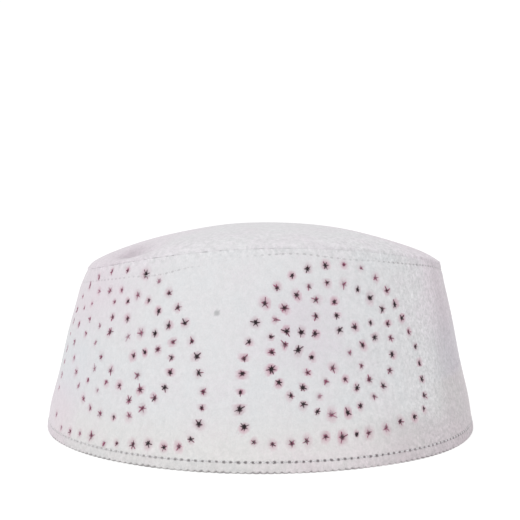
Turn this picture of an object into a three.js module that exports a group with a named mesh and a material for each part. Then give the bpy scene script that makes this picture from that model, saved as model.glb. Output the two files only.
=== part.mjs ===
// A stiff cloth prayer cap: a domed crown set into a tapered oval band with a turned-up hem.
// Millimetres, +Z up. The origin is the middle of the rim's oval, on the surface the cap rests on.
// The front faces -Y, and the wearer's left side, seen from the front, is at +X.
import * as THREE from "three";

// The rim is the outer bottom edge. Its oval is given by half its width and half its depth.
const rimHalfWidth = 90;
const rimHalfDepth = 97.2;

// The seam joins band and crown. Its oval is smaller than the rim's, so the band tapers.
const seamHalfWidth = 75.2;
const seamHalfDepth = 81.7;
const seamHeight = 67.2;
const seamShift = 0.7;

// The seam isn't level: the front and back stand up, the sides sink, and +X is the higher side.
const seamSaddle = 4.4;
const seamRoll = 2.1;
const seamLean = 1.1;

// The crown's dome, fuller towards +X, and the rounded shoulder close to its edge, fuller towards -X.
const domeRise = 12;
const domeSkew = 0.02;
const shoulderRise = 2.85;
const shoulderSkew = 0.35;
const shoulderPower = 16;

// The shoulder ends in a lip that lies on the band's top edge, a little inside the band's face.
const lipInset = 0.4;
const lipHeight = 0.6;

// On the -X side the edge of the seam is rolled up and inwards. Its height is how far down it starts.
const rolledEdge = { angle: -97, spread: 32, height: 9, lift: 2.8, tuck: 4.8 };

// Cloth walls.
const crownCloth = 1.8;
const bandCloth = 2.2;
const hemCloth = 1.2;

// The crown's edge is turned down inside the band for this length, and the hem turned up inside it.
const seamAllowance = 6;
const hemTurnUp = 12;
const hemHeight = 4;
const hemEdgeRadius = 0.6;

// Sewn pieces lie this far apart.
const clearance = 0.3;

// Dents of the crown. Angles are measured at the middle, from the front towards +X. A dent's place
// is a share of the way from the middle to the crown's edge, its depth a share of the dome's rise,
// and its two spreads are shares of the seam's half width.
const crownDents = [
  { angle: -41, place: 0.93, depth: 0.36, spreadAround: 0.13, spreadInward: 0.06 },
  { angle: -112, place: 0.62, depth: 0.09, spreadAround: 0.3, spreadInward: 0.2 },
  { angle: 152, place: 0.55, depth: 0.07, spreadAround: 0.34, spreadInward: 0.22 },
];

// Shallow hollows and swellings of the band. Heights are shares of the seam's height, depths are
// shares of the band's cloth and point inwards, and spreads are shares of the seam's half width.
const bandDents = [
  { angle: 52, height: 0.42, depth: 0.5, spreadAround: 0.26, spreadUp: 0.2 },
  { angle: -10, height: 0.5, depth: -0.3, spreadAround: 0.3, spreadUp: 0.3 },
  { angle: 128, height: 0.5, depth: 0.45, spreadAround: 0.3, spreadUp: 0.22 },
  { angle: -140, height: 0.46, depth: 0.5, spreadAround: 0.34, spreadUp: 0.24 },
];

// How finely the pieces are divided.
const stepsAround = 80;
const stepsAcrossDome = 12;
const stepsUpBand = 7;
const stepsInRoll = 3;
const stepsInFold = 4;

// Share of the way up from the rim to the seam. It stays 1 above the seam.
function heightShare(z) {
  return Math.min(1, z / seamHeight);
}

// Half width of the band's outer face at a height.
function outerHalfWidth(z) {
  return THREE.MathUtils.lerp(rimHalfWidth, seamHalfWidth, heightShare(z));
}

// Profile point that lies some way inwards from the band's outer face.
function insideFace(inward, z) {
  return new THREE.Vector2(outerHalfWidth(z) - inward, z);
}

// Bell-shaped weight of a dent, 1 at its middle and almost 0 past twice its spread.
function bell(distance, spread) {
  return Math.exp(-(distance * distance) / (spread * spread));
}

// Angle between two directions, in radians, from 0 to a half turn.
function angleBetween(a, b) {
  const turn = Math.abs(a - b) % (2 * Math.PI);
  return Math.min(turn, 2 * Math.PI - turn);
}

// How far the band is pushed inwards at a direction and height: not at all at the rim and seam.
function bandHollow(angle, z) {
  let hollow = 0;
  for (const dent of bandDents) {
    const around = angleBetween(angle, THREE.MathUtils.degToRad(dent.angle)) * seamHalfWidth;
    const up = z - dent.height * seamHeight;
    hollow += dent.depth * bandCloth
      * bell(around, dent.spreadAround * seamHalfWidth)
      * bell(up, dent.spreadUp * seamHalfWidth);
  }
  return hollow * Math.sin(Math.PI * heightShare(z));
}

// How far the seam's edge is rolled at a direction and height, from 0 to 1.
function rolledShare(angle, z) {
  const across = angleBetween(angle, THREE.MathUtils.degToRad(rolledEdge.angle));
  const up = THREE.MathUtils.clamp((z - seamHeight) / rolledEdge.height + 1, 0, 1);
  return bell(across, THREE.MathUtils.degToRad(rolledEdge.spread)) * up;
}

// How far the crown is pushed down at a direction and a share of the way to its edge.
function crownHollow(angle, share) {
  const crownHalfWidth = seamHalfWidth - lipInset;
  let hollow = 0;
  for (const dent of crownDents) {
    const across = angleBetween(angle, THREE.MathUtils.degToRad(dent.angle));
    const around = across * share * crownHalfWidth;
    const inward = (share - dent.place) * crownHalfWidth;
    hollow += dent.depth * domeRise
      * bell(around, dent.spreadAround * seamHalfWidth)
      * bell(inward, dent.spreadInward * seamHalfWidth);
  }
  return hollow;
}

// Turns a round piece into the cap's shape: oval from above, with the seam's saddle, roll and lean.
function drape(geometry) {
  const position = geometry.attributes.position;
  for (let i = 0; i < position.count; i += 1) {
    const z = position.getZ(i);
    const radius = Math.hypot(position.getX(i), position.getY(i));
    if (radius > 0) {
      const sideways = position.getX(i) / radius;
      const forward = -position.getY(i) / radius;
      const share = heightShare(z);
      const reach = Math.min(1, radius / seamHalfWidth);
      const rimExtra = rimHalfDepth - rimHalfWidth;
      const seamExtra = seamHalfDepth - seamHalfWidth;
      const extraDepth = THREE.MathUtils.lerp(rimExtra, seamExtra, share);
      const angle = Math.atan2(sideways, forward);
      const rolled = rolledShare(angle, z);
      const edge = Math.min(1, radius / (seamHalfWidth - bandCloth - clearance));
      const hollow = bandHollow(angle, z) + rolledEdge.tuck * rolled * rolled * edge ** 4;
      const saddle = seamSaddle * (forward * forward - sideways * sideways) * reach * reach;
      const tilt = (seamRoll * sideways + seamLean * forward) * reach;
      const lift = rolledEdge.lift * rolled * edge ** shoulderPower;
      position.setX(i, sideways * (radius - hollow) + seamShift * share);
      position.setY(i, -forward * (radius - hollow + extraDepth * reach));
      position.setZ(i, z + share * (saddle + tilt) + lift);
    } else {
      position.setX(i, seamShift * heightShare(z));
    }
  }
  geometry.computeVertexNormals();
  return geometry;
}

// Spins a profile of (radius, height) points about the upright axis.
function spin(profile) {
  const geometry = new THREE.LatheGeometry(profile, stepsAround);
  geometry.rotateX(Math.PI / 2);
  return geometry;
}

// Outline of the crown, level from its edge to the axis, for a half width and a height.
function roofLine(halfWidth, z) {
  const line = [];
  for (let i = 0; i <= stepsAcrossDome; i += 1) {
    const reach = Math.cos((i / stepsAcrossDome) * (Math.PI / 2));
    line.push(new THREE.Vector2(i === stepsAcrossDome ? 0 : halfWidth * reach, z));
  }
  return line;
}

// Raises the crown's dome and shoulder and presses its dents. Only the roof's points move: the
// points of the lip and the seam allowance come before and after them in each profile.
function shapeCrown(geometry, profile, roof) {
  const position = geometry.attributes.position;
  const edgeHalfWidth = seamHalfWidth - lipInset;
  for (let i = 0; i < position.count; i += 1) {
    if (roof.has(profile[i % profile.length])) {
      const x = position.getX(i);
      const y = position.getY(i);
      const share = Math.min(1, Math.hypot(x, y) / edgeHalfWidth);
      const angle = Math.atan2(x, -y);
      const sideways = share * Math.sin(angle);
      const dome = domeRise * (1 - share * share) * (1 + domeSkew * sideways);
      const shoulder = shoulderRise * (1 - shoulderSkew * sideways) - crownHollow(angle, share);
      position.setZ(i, position.getZ(i) + dome + shoulder * (1 - share ** shoulderPower));
    }
  }
  return geometry;
}

function makeCrown() {
  const inward = bandCloth + clearance;
  const allowanceFoot = seamHeight - seamAllowance;
  const lipFoot = seamHeight + clearance;
  const outside = roofLine(seamHalfWidth - lipInset, lipFoot + lipHeight);
  const inside = roofLine(seamHalfWidth - inward - crownCloth, lipFoot + lipHeight - crownCloth);
  const profile = [
    insideFace(inward, allowanceFoot),
    insideFace(inward, seamHeight - seamAllowance / 2),
    insideFace(inward, lipFoot),
    insideFace(lipInset + clearance, lipFoot),
    insideFace(lipInset, lipFoot + clearance),
    ...outside,
    ...inside.reverse(),
    insideFace(inward + crownCloth, seamHeight - seamAllowance / 2),
    insideFace(inward + crownCloth, allowanceFoot),
    insideFace(inward, allowanceFoot),
  ];
  const roof = new Set([...outside, ...inside]);
  return drape(shapeCrown(spin(profile), profile, roof));
}

function makeBand() {
  const foot = hemHeight + clearance;
  const foldRadius = bandCloth / 2;
  const foldCentre = seamHeight - foldRadius;
  const rollFoot = seamHeight - rolledEdge.height;
  const heights = [];
  for (let i = 0; i < stepsUpBand; i += 1) {
    heights.push(THREE.MathUtils.lerp(foot, rollFoot, i / stepsUpBand));
  }
  for (let i = 0; i <= stepsInRoll; i += 1) {
    heights.push(THREE.MathUtils.lerp(rollFoot, foldCentre, i / stepsInRoll));
  }
  const profile = heights.map((z) => insideFace(0, z));
  for (let i = 1; i < stepsInFold; i += 1) {
    const turn = (i / stepsInFold) * Math.PI;
    const inward = foldRadius * (1 - Math.cos(turn));
    profile.push(insideFace(inward, foldCentre + foldRadius * Math.sin(turn)));
  }
  heights.reverse();
  profile.push(...heights.map((z) => insideFace(bandCloth, z)));
  profile.push(profile[0].clone());
  return drape(spin(profile));
}

function makeBottomHem() {
  const legOutside = bandCloth + clearance;
  const legInside = legOutside + hemCloth;
  const profile = [
    insideFace(hemEdgeRadius, 0),
    insideFace(0, hemEdgeRadius),
    insideFace(0, hemHeight),
    insideFace(legOutside, hemHeight),
    insideFace(legOutside, THREE.MathUtils.lerp(hemHeight, hemTurnUp, 1 / 2)),
    insideFace(legOutside, hemTurnUp),
    insideFace(legInside, hemTurnUp),
    insideFace(legInside, THREE.MathUtils.lerp(hemHeight, hemTurnUp, 1 / 2)),
    insideFace(legInside, hemHeight),
    insideFace(legInside, 0),
    insideFace(hemEdgeRadius, 0),
  ];
  return drape(spin(profile));
}

// Napped cloth, pale grey-white with a touch of lavender.
function napped(colour) {
  return new THREE.MeshStandardMaterial({ color: colour, roughness: 0.95, metalness: 0 });
}

function pieceOf(name, geometry, colour) {
  const mesh = new THREE.Mesh(geometry, napped(colour));
  mesh.name = name;
  return mesh;
}

const cap = new THREE.Group();
cap.name = "prayer_cap";
cap.add(pieceOf("crown", makeCrown(), 0xdcdade));
cap.add(pieceOf("band", makeBand(), 0xdedce0));
cap.add(pieceOf("bottom_hem", makeBottomHem(), 0xd8d6db));

export default cap;
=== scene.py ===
"""A pale napped prayer cap with star-stitched motifs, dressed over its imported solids.

Metres, +Z up. The cap rests on its rim and its front faces -Y. Directions round the cap are angles from
the front towards +X. Heights on the band are shares of the way from the rim to the crown's seam.
"""

import functools
import logging
import math
from dataclasses import dataclass, field
from enum import Enum

import bmesh
import bpy
import numpy as np
from mathutils import Matrix, Vector


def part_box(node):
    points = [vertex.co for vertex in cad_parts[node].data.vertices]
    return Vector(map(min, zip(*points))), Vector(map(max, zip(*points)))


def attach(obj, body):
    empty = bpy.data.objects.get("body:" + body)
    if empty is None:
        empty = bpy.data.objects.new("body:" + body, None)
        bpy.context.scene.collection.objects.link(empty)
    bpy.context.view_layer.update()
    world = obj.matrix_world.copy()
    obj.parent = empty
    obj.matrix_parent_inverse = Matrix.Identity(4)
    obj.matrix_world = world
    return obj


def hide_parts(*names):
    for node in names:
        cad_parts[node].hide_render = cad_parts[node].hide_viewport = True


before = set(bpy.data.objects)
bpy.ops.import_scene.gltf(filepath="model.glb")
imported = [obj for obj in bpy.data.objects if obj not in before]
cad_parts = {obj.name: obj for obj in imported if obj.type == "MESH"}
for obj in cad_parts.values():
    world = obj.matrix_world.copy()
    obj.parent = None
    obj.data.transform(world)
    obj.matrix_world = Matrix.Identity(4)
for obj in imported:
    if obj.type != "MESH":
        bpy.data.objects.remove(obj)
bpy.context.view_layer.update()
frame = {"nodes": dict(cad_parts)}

LOG = logging.getLogger("prayer_cap")
MM = 0.001
FULL_TURN = 2 * math.pi
BODY = "root"
Colour = tuple[float, float, float]
Points = list[tuple[float, float]]
Material = bpy.types.Material
Mesh = bpy.types.Mesh
Piece = bpy.types.Object
Socket = bpy.types.NodeSocket


def bell(distance: np.ndarray, spread: float) -> np.ndarray:
    """Gives a bell-shaped weight: 1 at no distance, almost 0 past twice the spread."""
    return np.exp(-np.square(distance / spread))


def smooth_step(value: np.ndarray) -> np.ndarray:
    """Gives a soft step from 0 to 1 as the value goes from 0 to 1."""
    clipped = np.clip(value, 0.0, 1.0)
    return clipped * clipped * (3.0 - 2.0 * clipped)


def turn_between(first: np.ndarray, second: float) -> np.ndarray:
    """Gives the signed turn from one direction to others, in radians, from minus to plus half a turn."""
    return (first - second + math.pi) % FULL_TURN - math.pi


def close_up(shape: bmesh.types.BMesh, distance: float) -> None:
    """Joins the corners that lie together and turns the faces out."""
    bmesh.ops.remove_doubles(shape, verts=shape.verts, dist=distance)
    bmesh.ops.recalc_face_normals(shape, faces=shape.faces)


def mesh_of(shape: bmesh.types.BMesh, name: str) -> Mesh:
    """Turns a built shape into a mesh and lets go of the shape.

    Args:
        shape: The built shape.
        name: The mesh's name.

    Returns:
        The mesh.
    """
    mesh = bpy.data.meshes.new(name)
    shape.to_mesh(mesh)
    shape.free()
    return mesh


def put_in_scene(name: str, content: bpy.types.ID) -> Piece:
    """Puts a mesh, a light or a camera into the scene.

    Args:
        name: The object's name.
        content: What the object shows or does.

    Returns:
        The object.
    """
    piece = bpy.data.objects.new(name, content)
    bpy.context.scene.collection.objects.link(piece)
    return piece


@dataclass(frozen=True)
class RimPull:
    """A stretch of the rim that is drawn in, or out where the depth is negative.

    Attributes:
        angle: Its direction in radians.
        spread: How far it reaches to each side, in radians.
        height: How high up the band it reaches, in metres.
        depth: How far the rim is drawn in, in metres.
    """

    angle: float
    spread: float
    height: float
    depth: float

    def at(self, angle: np.ndarray, height: np.ndarray) -> np.ndarray:
        """Gives how far the cloth is drawn in at directions and heights."""
        low = np.clip(1.0 - height / self.height, 0.0, 1.0)
        return self.depth * bell(turn_between(angle, self.angle), self.spread) * low * low


@dataclass(frozen=True)
class CapForm:
    """The cap's resting form: a tapered oval band whose seam rises at the front and the back.

    The rim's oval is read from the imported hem. The other sizes are those of the solids.
    """

    rim_half_width: float
    rim_half_depth: float
    seam_half_width: float = 75.2 * MM
    seam_half_depth: float = 81.7 * MM
    seam_height: float = 67.2 * MM
    seam_shift: float = 0.7 * MM
    seam_saddle: float = 4.4 * MM
    seam_roll: float = 2.1 * MM
    seam_lean: float = 1.1 * MM
    dome_rise: float = 12.0 * MM
    dome_skew: float = 0.02
    shoulder_rise: float = 2.85 * MM
    shoulder_skew: float = 0.35
    shoulder_power: int = 16
    crown_inset: float = 2.5 * MM
    rolled_edge_at: float = math.radians(-97)
    rolled_edge_spread: float = math.radians(32)
    rolled_edge_height: float = 9.0 * MM
    rolled_edge_lift: float = 2.8 * MM
    rolled_edge_tuck: float = 4.8 * MM
    rim_pulls: tuple["RimPull", ...] = (
        RimPull(math.radians(-90), math.radians(24), 13.0 * MM, 1.7 * MM),
        RimPull(math.radians(46), math.radians(18), 12.0 * MM, -1.3 * MM),
        RimPull(math.radians(88), math.radians(20), 17.0 * MM, 1.4 * MM),
    )

    @classmethod
    def from_frame(cls) -> "CapForm":
        """Reads the rim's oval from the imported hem.

        Returns:
            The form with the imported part's own rim.
        """
        low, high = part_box("bottom_hem")
        return cls(rim_half_width=(high.x - low.x) / 2, rim_half_depth=(high.y - low.y) / 2)

    def half_width(self, height: np.ndarray) -> np.ndarray:
        """Gives half the width of the band's outer face at heights above the rim."""
        share = np.clip(height / self.seam_height, 0.0, 1.0)
        return self.rim_half_width + (self.seam_half_width - self.rim_half_width) * share

    def roof(self, reach: np.ndarray, angle: np.ndarray, hollow: np.ndarray) -> np.ndarray:
        """Gives how far the crown rises above its lip.

        Args:
            reach: Shares of the way from the middle to the crown's edge.
            angle: Directions in radians.
            hollow: How deep the dents are there, in metres.

        Returns:
            The rise in metres.
        """
        sideways = reach * np.sin(angle)
        dome = self.dome_rise * (1.0 - reach * reach) * (1.0 + self.dome_skew * sideways)
        shoulder = self.shoulder_rise * (1.0 - self.shoulder_skew * sideways) - hollow
        return dome + shoulder * (1.0 - reach ** self.shoulder_power)

    def drape(self, radius: np.ndarray, angle: np.ndarray, height: np.ndarray) -> np.ndarray:
        """Turns round coordinates into places on the cap.

        Args:
            radius: Distance from the upright axis as if the cap were round, in metres.
            angle: Direction from the front towards +X, in radians.
            height: Height as if the seam were level, in metres.

        Returns:
            An array of places, one row for each point.
        """
        share = np.clip(height / self.seam_height, 0.0, 1.0)
        reach = np.minimum(1.0, radius / self.seam_half_width)
        edge = np.clip(radius / (self.seam_half_width - self.crown_inset), 0.0, 1.0)
        sideways, forward = np.sin(angle), np.cos(angle)
        rolled = bell(turn_between(angle, self.rolled_edge_at), self.rolled_edge_spread)
        start = self.seam_height - self.rolled_edge_height
        rolled = rolled * np.clip((height - start) / self.rolled_edge_height, 0.0, 1.0)
        tucked = radius - self.rolled_edge_tuck * rolled * rolled * edge ** 4
        for pull in self.rim_pulls:
            tucked = tucked - pull.at(angle, height)
        rim_extra = self.rim_half_depth - self.rim_half_width
        seam_extra = self.seam_half_depth - self.seam_half_width
        extra = rim_extra + (seam_extra - rim_extra) * share
        saddle = self.seam_saddle * (forward * forward - sideways * sideways) * reach * reach
        tilt = (self.seam_roll * sideways + self.seam_lean * forward) * reach
        lift = self.rolled_edge_lift * rolled * edge ** self.shoulder_power
        x = sideways * tucked + self.seam_shift * share
        y = -forward * (tucked + extra * reach)
        z = height + share * (saddle + tilt) + lift
        return np.stack([x, y, z], axis=-1)


@dataclass(frozen=True)
class CurveKey:
    """One corner of a dotted curve: its direction in degrees, its height share, and the stars to the next."""

    angle: float
    share: float
    steps: int


@dataclass(frozen=True)
class PetalSide:
    """One side of a petal: the direction and height share of its inner and outer end, and its stars."""

    inner: tuple[float, float]
    outer: tuple[float, float]
    stars: int


@dataclass(frozen=True)
class MotifChart:
    """One motif's star places: an arched frame, a ring, and a flower of five open petals."""

    name: str
    frame: tuple[CurveKey, ...]
    ring: tuple[CurveKey, ...]
    petals: tuple[PetalSide, ...]
    turned: float = 0.0

    def closed_curve(self, keys: tuple[CurveKey, ...]) -> Points:
        """Sets stars at even steps on a smooth closed curve through the keys.

        Args:
            keys: The curve's corners, in order.

        Returns:
            The stars as (direction in degrees, height share).
        """
        places = np.array([(key.angle, key.share) for key in keys])
        stars = []
        for index, key in enumerate(keys):
            before, start, end, after = (places[(index + k) % len(keys)] for k in (-1, 0, 1, 2))
            for step in range(key.steps):
                t = step / key.steps
                bend = 2 * start + (end - before) * t
                bend = bend + (2 * before - 5 * start + 4 * end - after) * t * t
                bend = bend + (3 * start - before - 3 * end + after) * t * t * t
                stars.append((bend[0] / 2, bend[1] / 2))
        return stars

    def stars(self) -> Points:
        """Lists every star of the motif as (direction in radians, height share)."""
        found = self.closed_curve(self.frame) + self.closed_curve(self.ring)
        for side in self.petals:
            for index in range(side.stars):
                t = index / (side.stars - 1)
                angle = side.inner[0] + (side.outer[0] - side.inner[0]) * t
                found.append((angle, side.inner[1] + (side.outer[1] - side.inner[1]) * t))
        return [(math.radians(angle + self.turned), share) for angle, share in found]


def curve_keys(*corners: tuple[float, float, int]) -> tuple[CurveKey, ...]:
    """Makes the keys of a dotted curve."""
    return tuple(CurveKey(*corner) for corner in corners)


def petal_sides(*sides: tuple[tuple[float, float], tuple[float, float], int]) -> tuple[PetalSide, ...]:
    """Makes the sides of a flower's petals."""
    return tuple(PetalSide(*side) for side in sides)


# The places of the stars were not charted by hand. A program worked them out, through the camera's sizes,
# from pixel places read by eye off the photograph. They were then changed by corrections that a second
# program measured. Directions are in degrees and heights are shares of the way from the rim to the seam.
RIGHT_FRAME = curve_keys(
    (0.7, 0.749, 2), (7.5, 0.876, 2), (16.5, 0.923, 2), (26.9, 0.922, 2), (34.6, 0.815, 2),
    (38.7, 0.683, 2), (42.9, 0.538, 2), (43.9, 0.371, 2), (42.3, 0.229, 1), (38.3, 0.198, 1),
    (33.5, 0.185, 1), (29.3, 0.168, 1), (24.7, 0.154, 1), (21.6, 0.155, 1), (17.9, 0.147, 1),
    (14.1, 0.152, 1), (10.0, 0.139, 1), (6.7, 0.13, 1), (2.6, 0.127, 1), (-1.4, 0.137, 1),
    (-3.5, 0.206, 1), (-4.5, 0.282, 2), (-4.2, 0.436, 2), (-2.9, 0.578, 2),
)
RIGHT_RING = curve_keys(
    (11.9, 0.826, 2), (21.3, 0.837, 2), (28.5, 0.779, 1), (32.2, 0.725, 1), (33.5, 0.655, 2),
    (33.8, 0.508, 2), (30.0, 0.36, 3), (19.8, 0.253, 2), (12.6, 0.262, 2), (6.7, 0.338, 1),
    (4.1, 0.396, 1), (2.4, 0.454, 1), (2.4, 0.534, 2), (3.3, 0.674, 3),
)
RIGHT_PETALS = petal_sides(
    ((13.0, 0.611), (13.5, 0.764), 3), ((19.1, 0.625), (18.2, 0.756), 3),
    ((23.5, 0.637), (28.1, 0.659), 2), ((21.4, 0.519), (28.8, 0.589), 3),
    ((24.2, 0.459), (26.1, 0.394), 2), ((16.9, 0.452), (22.5, 0.355), 3),
    ((15.0, 0.395), (13.2, 0.33), 2), ((11.8, 0.501), (9.5, 0.371), 3), ((8.8, 0.538), (5.6, 0.561), 2),
    ((9.5, 0.618), (5.9, 0.621), 2),
)
LEFT_FRAME = curve_keys(
    (-59.5, 0.905, 2), (-46.9, 0.967, 2), (-32.5, 0.927, 2), (-24.1, 0.817, 2), (-18.9, 0.668, 2),
    (-15.1, 0.514, 1), (-14.4, 0.442, 1), (-13.1, 0.359, 2), (-13.5, 0.211, 1), (-15.2, 0.143, 1),
    (-17.7, 0.106, 1), (-21.4, 0.098, 1), (-25.3, 0.109, 1), (-29.2, 0.096, 1), (-33.8, 0.09, 1),
    (-37.8, 0.077, 1), (-42.5, 0.094, 1), (-47.3, 0.095, 1), (-51.9, 0.085, 1), (-57.5, 0.084, 1),
    (-63.4, 0.136, 1), (-67.6, 0.284, 3), (-69.0, 0.53, 3), (-68.0, 0.77, 2),
)
LEFT_RING = curve_keys(
    (-34.1, 0.825, 1), (-30.2, 0.79, 1), (-26.7, 0.734, 1), (-23.2, 0.659, 1), (-21.6, 0.583, 2),
    (-21.5, 0.44, 1), (-22.6, 0.371, 1), (-24.9, 0.319, 2), (-31.4, 0.225, 2), (-40.7, 0.216, 2),
    (-48.7, 0.273, 2), (-55.4, 0.406, 1), (-59.0, 0.482, 1), (-61.8, 0.574, 2), (-60.1, 0.778, 1),
    (-54.7, 0.8, 1), (-51.7, 0.865, 1), (-46.0, 0.862, 1), (-40.7, 0.859, 1),
)
LEFT_PETALS = petal_sides(
    ((-42.4, 0.636), (-42.9, 0.8), 3), ((-35.6, 0.613), (-37.5, 0.793), 3),
    ((-31.2, 0.629), (-26.8, 0.623), 2), ((-32.7, 0.514), (-25.4, 0.549), 3),
    ((-30.4, 0.421), (-29.0, 0.354), 2), ((-39.5, 0.439), (-32.0, 0.296), 3),
    ((-40.4, 0.381), (-43.1, 0.327), 2), ((-44.2, 0.508), (-48.2, 0.375), 3),
    ((-48.4, 0.579), (-54.7, 0.626), 2), ((-47.8, 0.673), (-54.2, 0.711), 2),
)
MOTIFS = (
    MotifChart("stars_front_right", RIGHT_FRAME, RIGHT_RING, RIGHT_PETALS),
    MotifChart("stars_front_left", LEFT_FRAME, LEFT_RING, LEFT_PETALS),
    MotifChart("stars_back_left", RIGHT_FRAME, RIGHT_RING, RIGHT_PETALS, turned=180.0),
    MotifChart("stars_back_right", LEFT_FRAME, LEFT_RING, LEFT_PETALS, turned=180.0),
)


@dataclass(frozen=True)
class RoundKeys:
    """A value that changes round the cap, given at directions in degrees and smooth between them."""

    keys: tuple[tuple[float, float], ...]

    def at(self, angle: np.ndarray) -> np.ndarray:
        """Gives the value at directions in radians."""
        degrees = np.degrees(np.asarray(angle, dtype=float)) % 360.0
        places = np.array([key[0] % 360.0 for key in self.keys])
        values = np.array([key[1] for key in self.keys])
        order = np.argsort(places)
        places, values = places[order], values[order]
        places = np.concatenate([[places[-1] - 360.0], places, [places[0] + 360.0]])
        values = np.concatenate([[values[-1]], values, [values[0]]])
        index = np.clip(np.searchsorted(places, degrees, side="right") - 1, 0, len(places) - 2)
        t = smooth_step((degrees - places[index]) / (places[index + 1] - places[index]))
        return values[index] + (values[index + 1] - values[index]) * t


@dataclass(frozen=True)
class Star:
    """One embroidered star: its place on the band, its strength of colour and its size against the mean."""

    angle: float
    share: float
    strength: float
    size: float


@dataclass
class StarField:
    """All the stars of the band, set out from the motifs' places with small random errors."""

    seed: int = 11
    wander_angle: float = math.radians(0.07)
    wander_share: float = 0.0012
    strength_mean: float = 0.76
    strength_spread: float = 0.26
    strength_range: tuple[float, float] = (0.2, 1.1)
    size_spread: float = 0.12
    size_range: tuple[float, float] = (0.76, 1.26)
    faded: RoundKeys = RoundKeys((
        (-100.0, 0.26), (-62.0, 0.34), (-46.0, 0.46), (-37.0, 0.7), (-27.0, 1.0), (60.0, 1.0), (130.0, 0.9),
    ))
    motifs: dict[str, list[Star]] = field(default_factory=dict)

    def set_out(self) -> None:
        """Works out the stars of every motif."""
        rng = np.random.default_rng(self.seed)
        for chart in MOTIFS:
            stars = []
            for angle, share in chart.stars():
                strength = np.clip(rng.normal(self.strength_mean, self.strength_spread), *self.strength_range)
                strength = float(strength * self.faded.at(angle))
                size = float(np.clip(rng.normal(1.0, self.size_spread), *self.size_range))
                angle += rng.normal(0.0, self.wander_angle)
                share += rng.normal(0.0, self.wander_share)
                stars.append(Star(angle, share, strength, size))
            self.motifs[chart.name] = stars

    def everyone(self) -> list[Star]:
        """Lists the stars of all the motifs."""
        return [star for stars in self.motifs.values() for star in stars]


@dataclass(frozen=True)
class StitchLine:
    """A row of topstitching round the cap.

    Attributes:
        name: The row's name.
        share: Its height share by direction.
        shade: How dark the painted shade of its needle holes is by direction, from 0 to 1.
        count: How many stitches go round.
    """

    name: str
    share: RoundKeys
    shade: RoundKeys
    count: int

    def share_at(self, angle: np.ndarray) -> np.ndarray:
        """Gives the row's height share at directions in radians."""
        return self.share.at(angle)

    def step(self) -> float:
        """Gives the turn from one stitch to the next, in radians."""
        return FULL_TURN / self.count


HEM_LINE = StitchLine(
    "hem_topstitching",
    RoundKeys(((0.0, 0.051), (180.0, 0.051))),
    RoundKeys((
        (-90.0, 0.2), (-60.0, 0.22), (-45.0, 0.36), (-30.0, 0.6), (-14.0, 0.85), (0.0, 1.0), (22.0, 1.0),
        (38.0, 0.78), (52.0, 0.9), (78.0, 0.9), (110.0, 0.6), (150.0, 0.8), (220.0, 0.7),
    )),
    count=236,
)
# The heights of this row from -60 to 60 degrees follow what the program for the stars' places worked out.
SEAM_LINE = StitchLine(
    "seam_topstitching",
    RoundKeys((
        (-60.0, 0.93), (-40.0, 0.921), (-29.0, 0.912), (-17.0, 0.935), (-2.0, 0.97), (8.0, 0.976),
        (24.0, 0.957), (36.0, 0.96), (60.0, 0.971), (110.0, 0.96), (160.0, 0.955), (205.0, 0.965),
        (250.0, 0.955),
    )),
    RoundKeys((
        (-90.0, 0.1), (-62.0, 0.3), (-50.0, 0.5), (-35.0, 0.4), (-24.0, 0.5), (-14.0, 0.08), (-4.0, 0.1),
        (3.0, 0.6), (20.0, 0.5), (30.0, 0.4), (40.0, 0.85), (60.0, 0.95), (90.0, 0.6), (180.0, 0.6),
    )),
    count=196,
)


@dataclass(frozen=True)
class SoftDent:
    """A shallow hollow of the band. A negative depth swells it. Depth and spreads are in metres."""

    angle: float
    share: float
    depth: float
    spread_around: float
    spread_up: float


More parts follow.
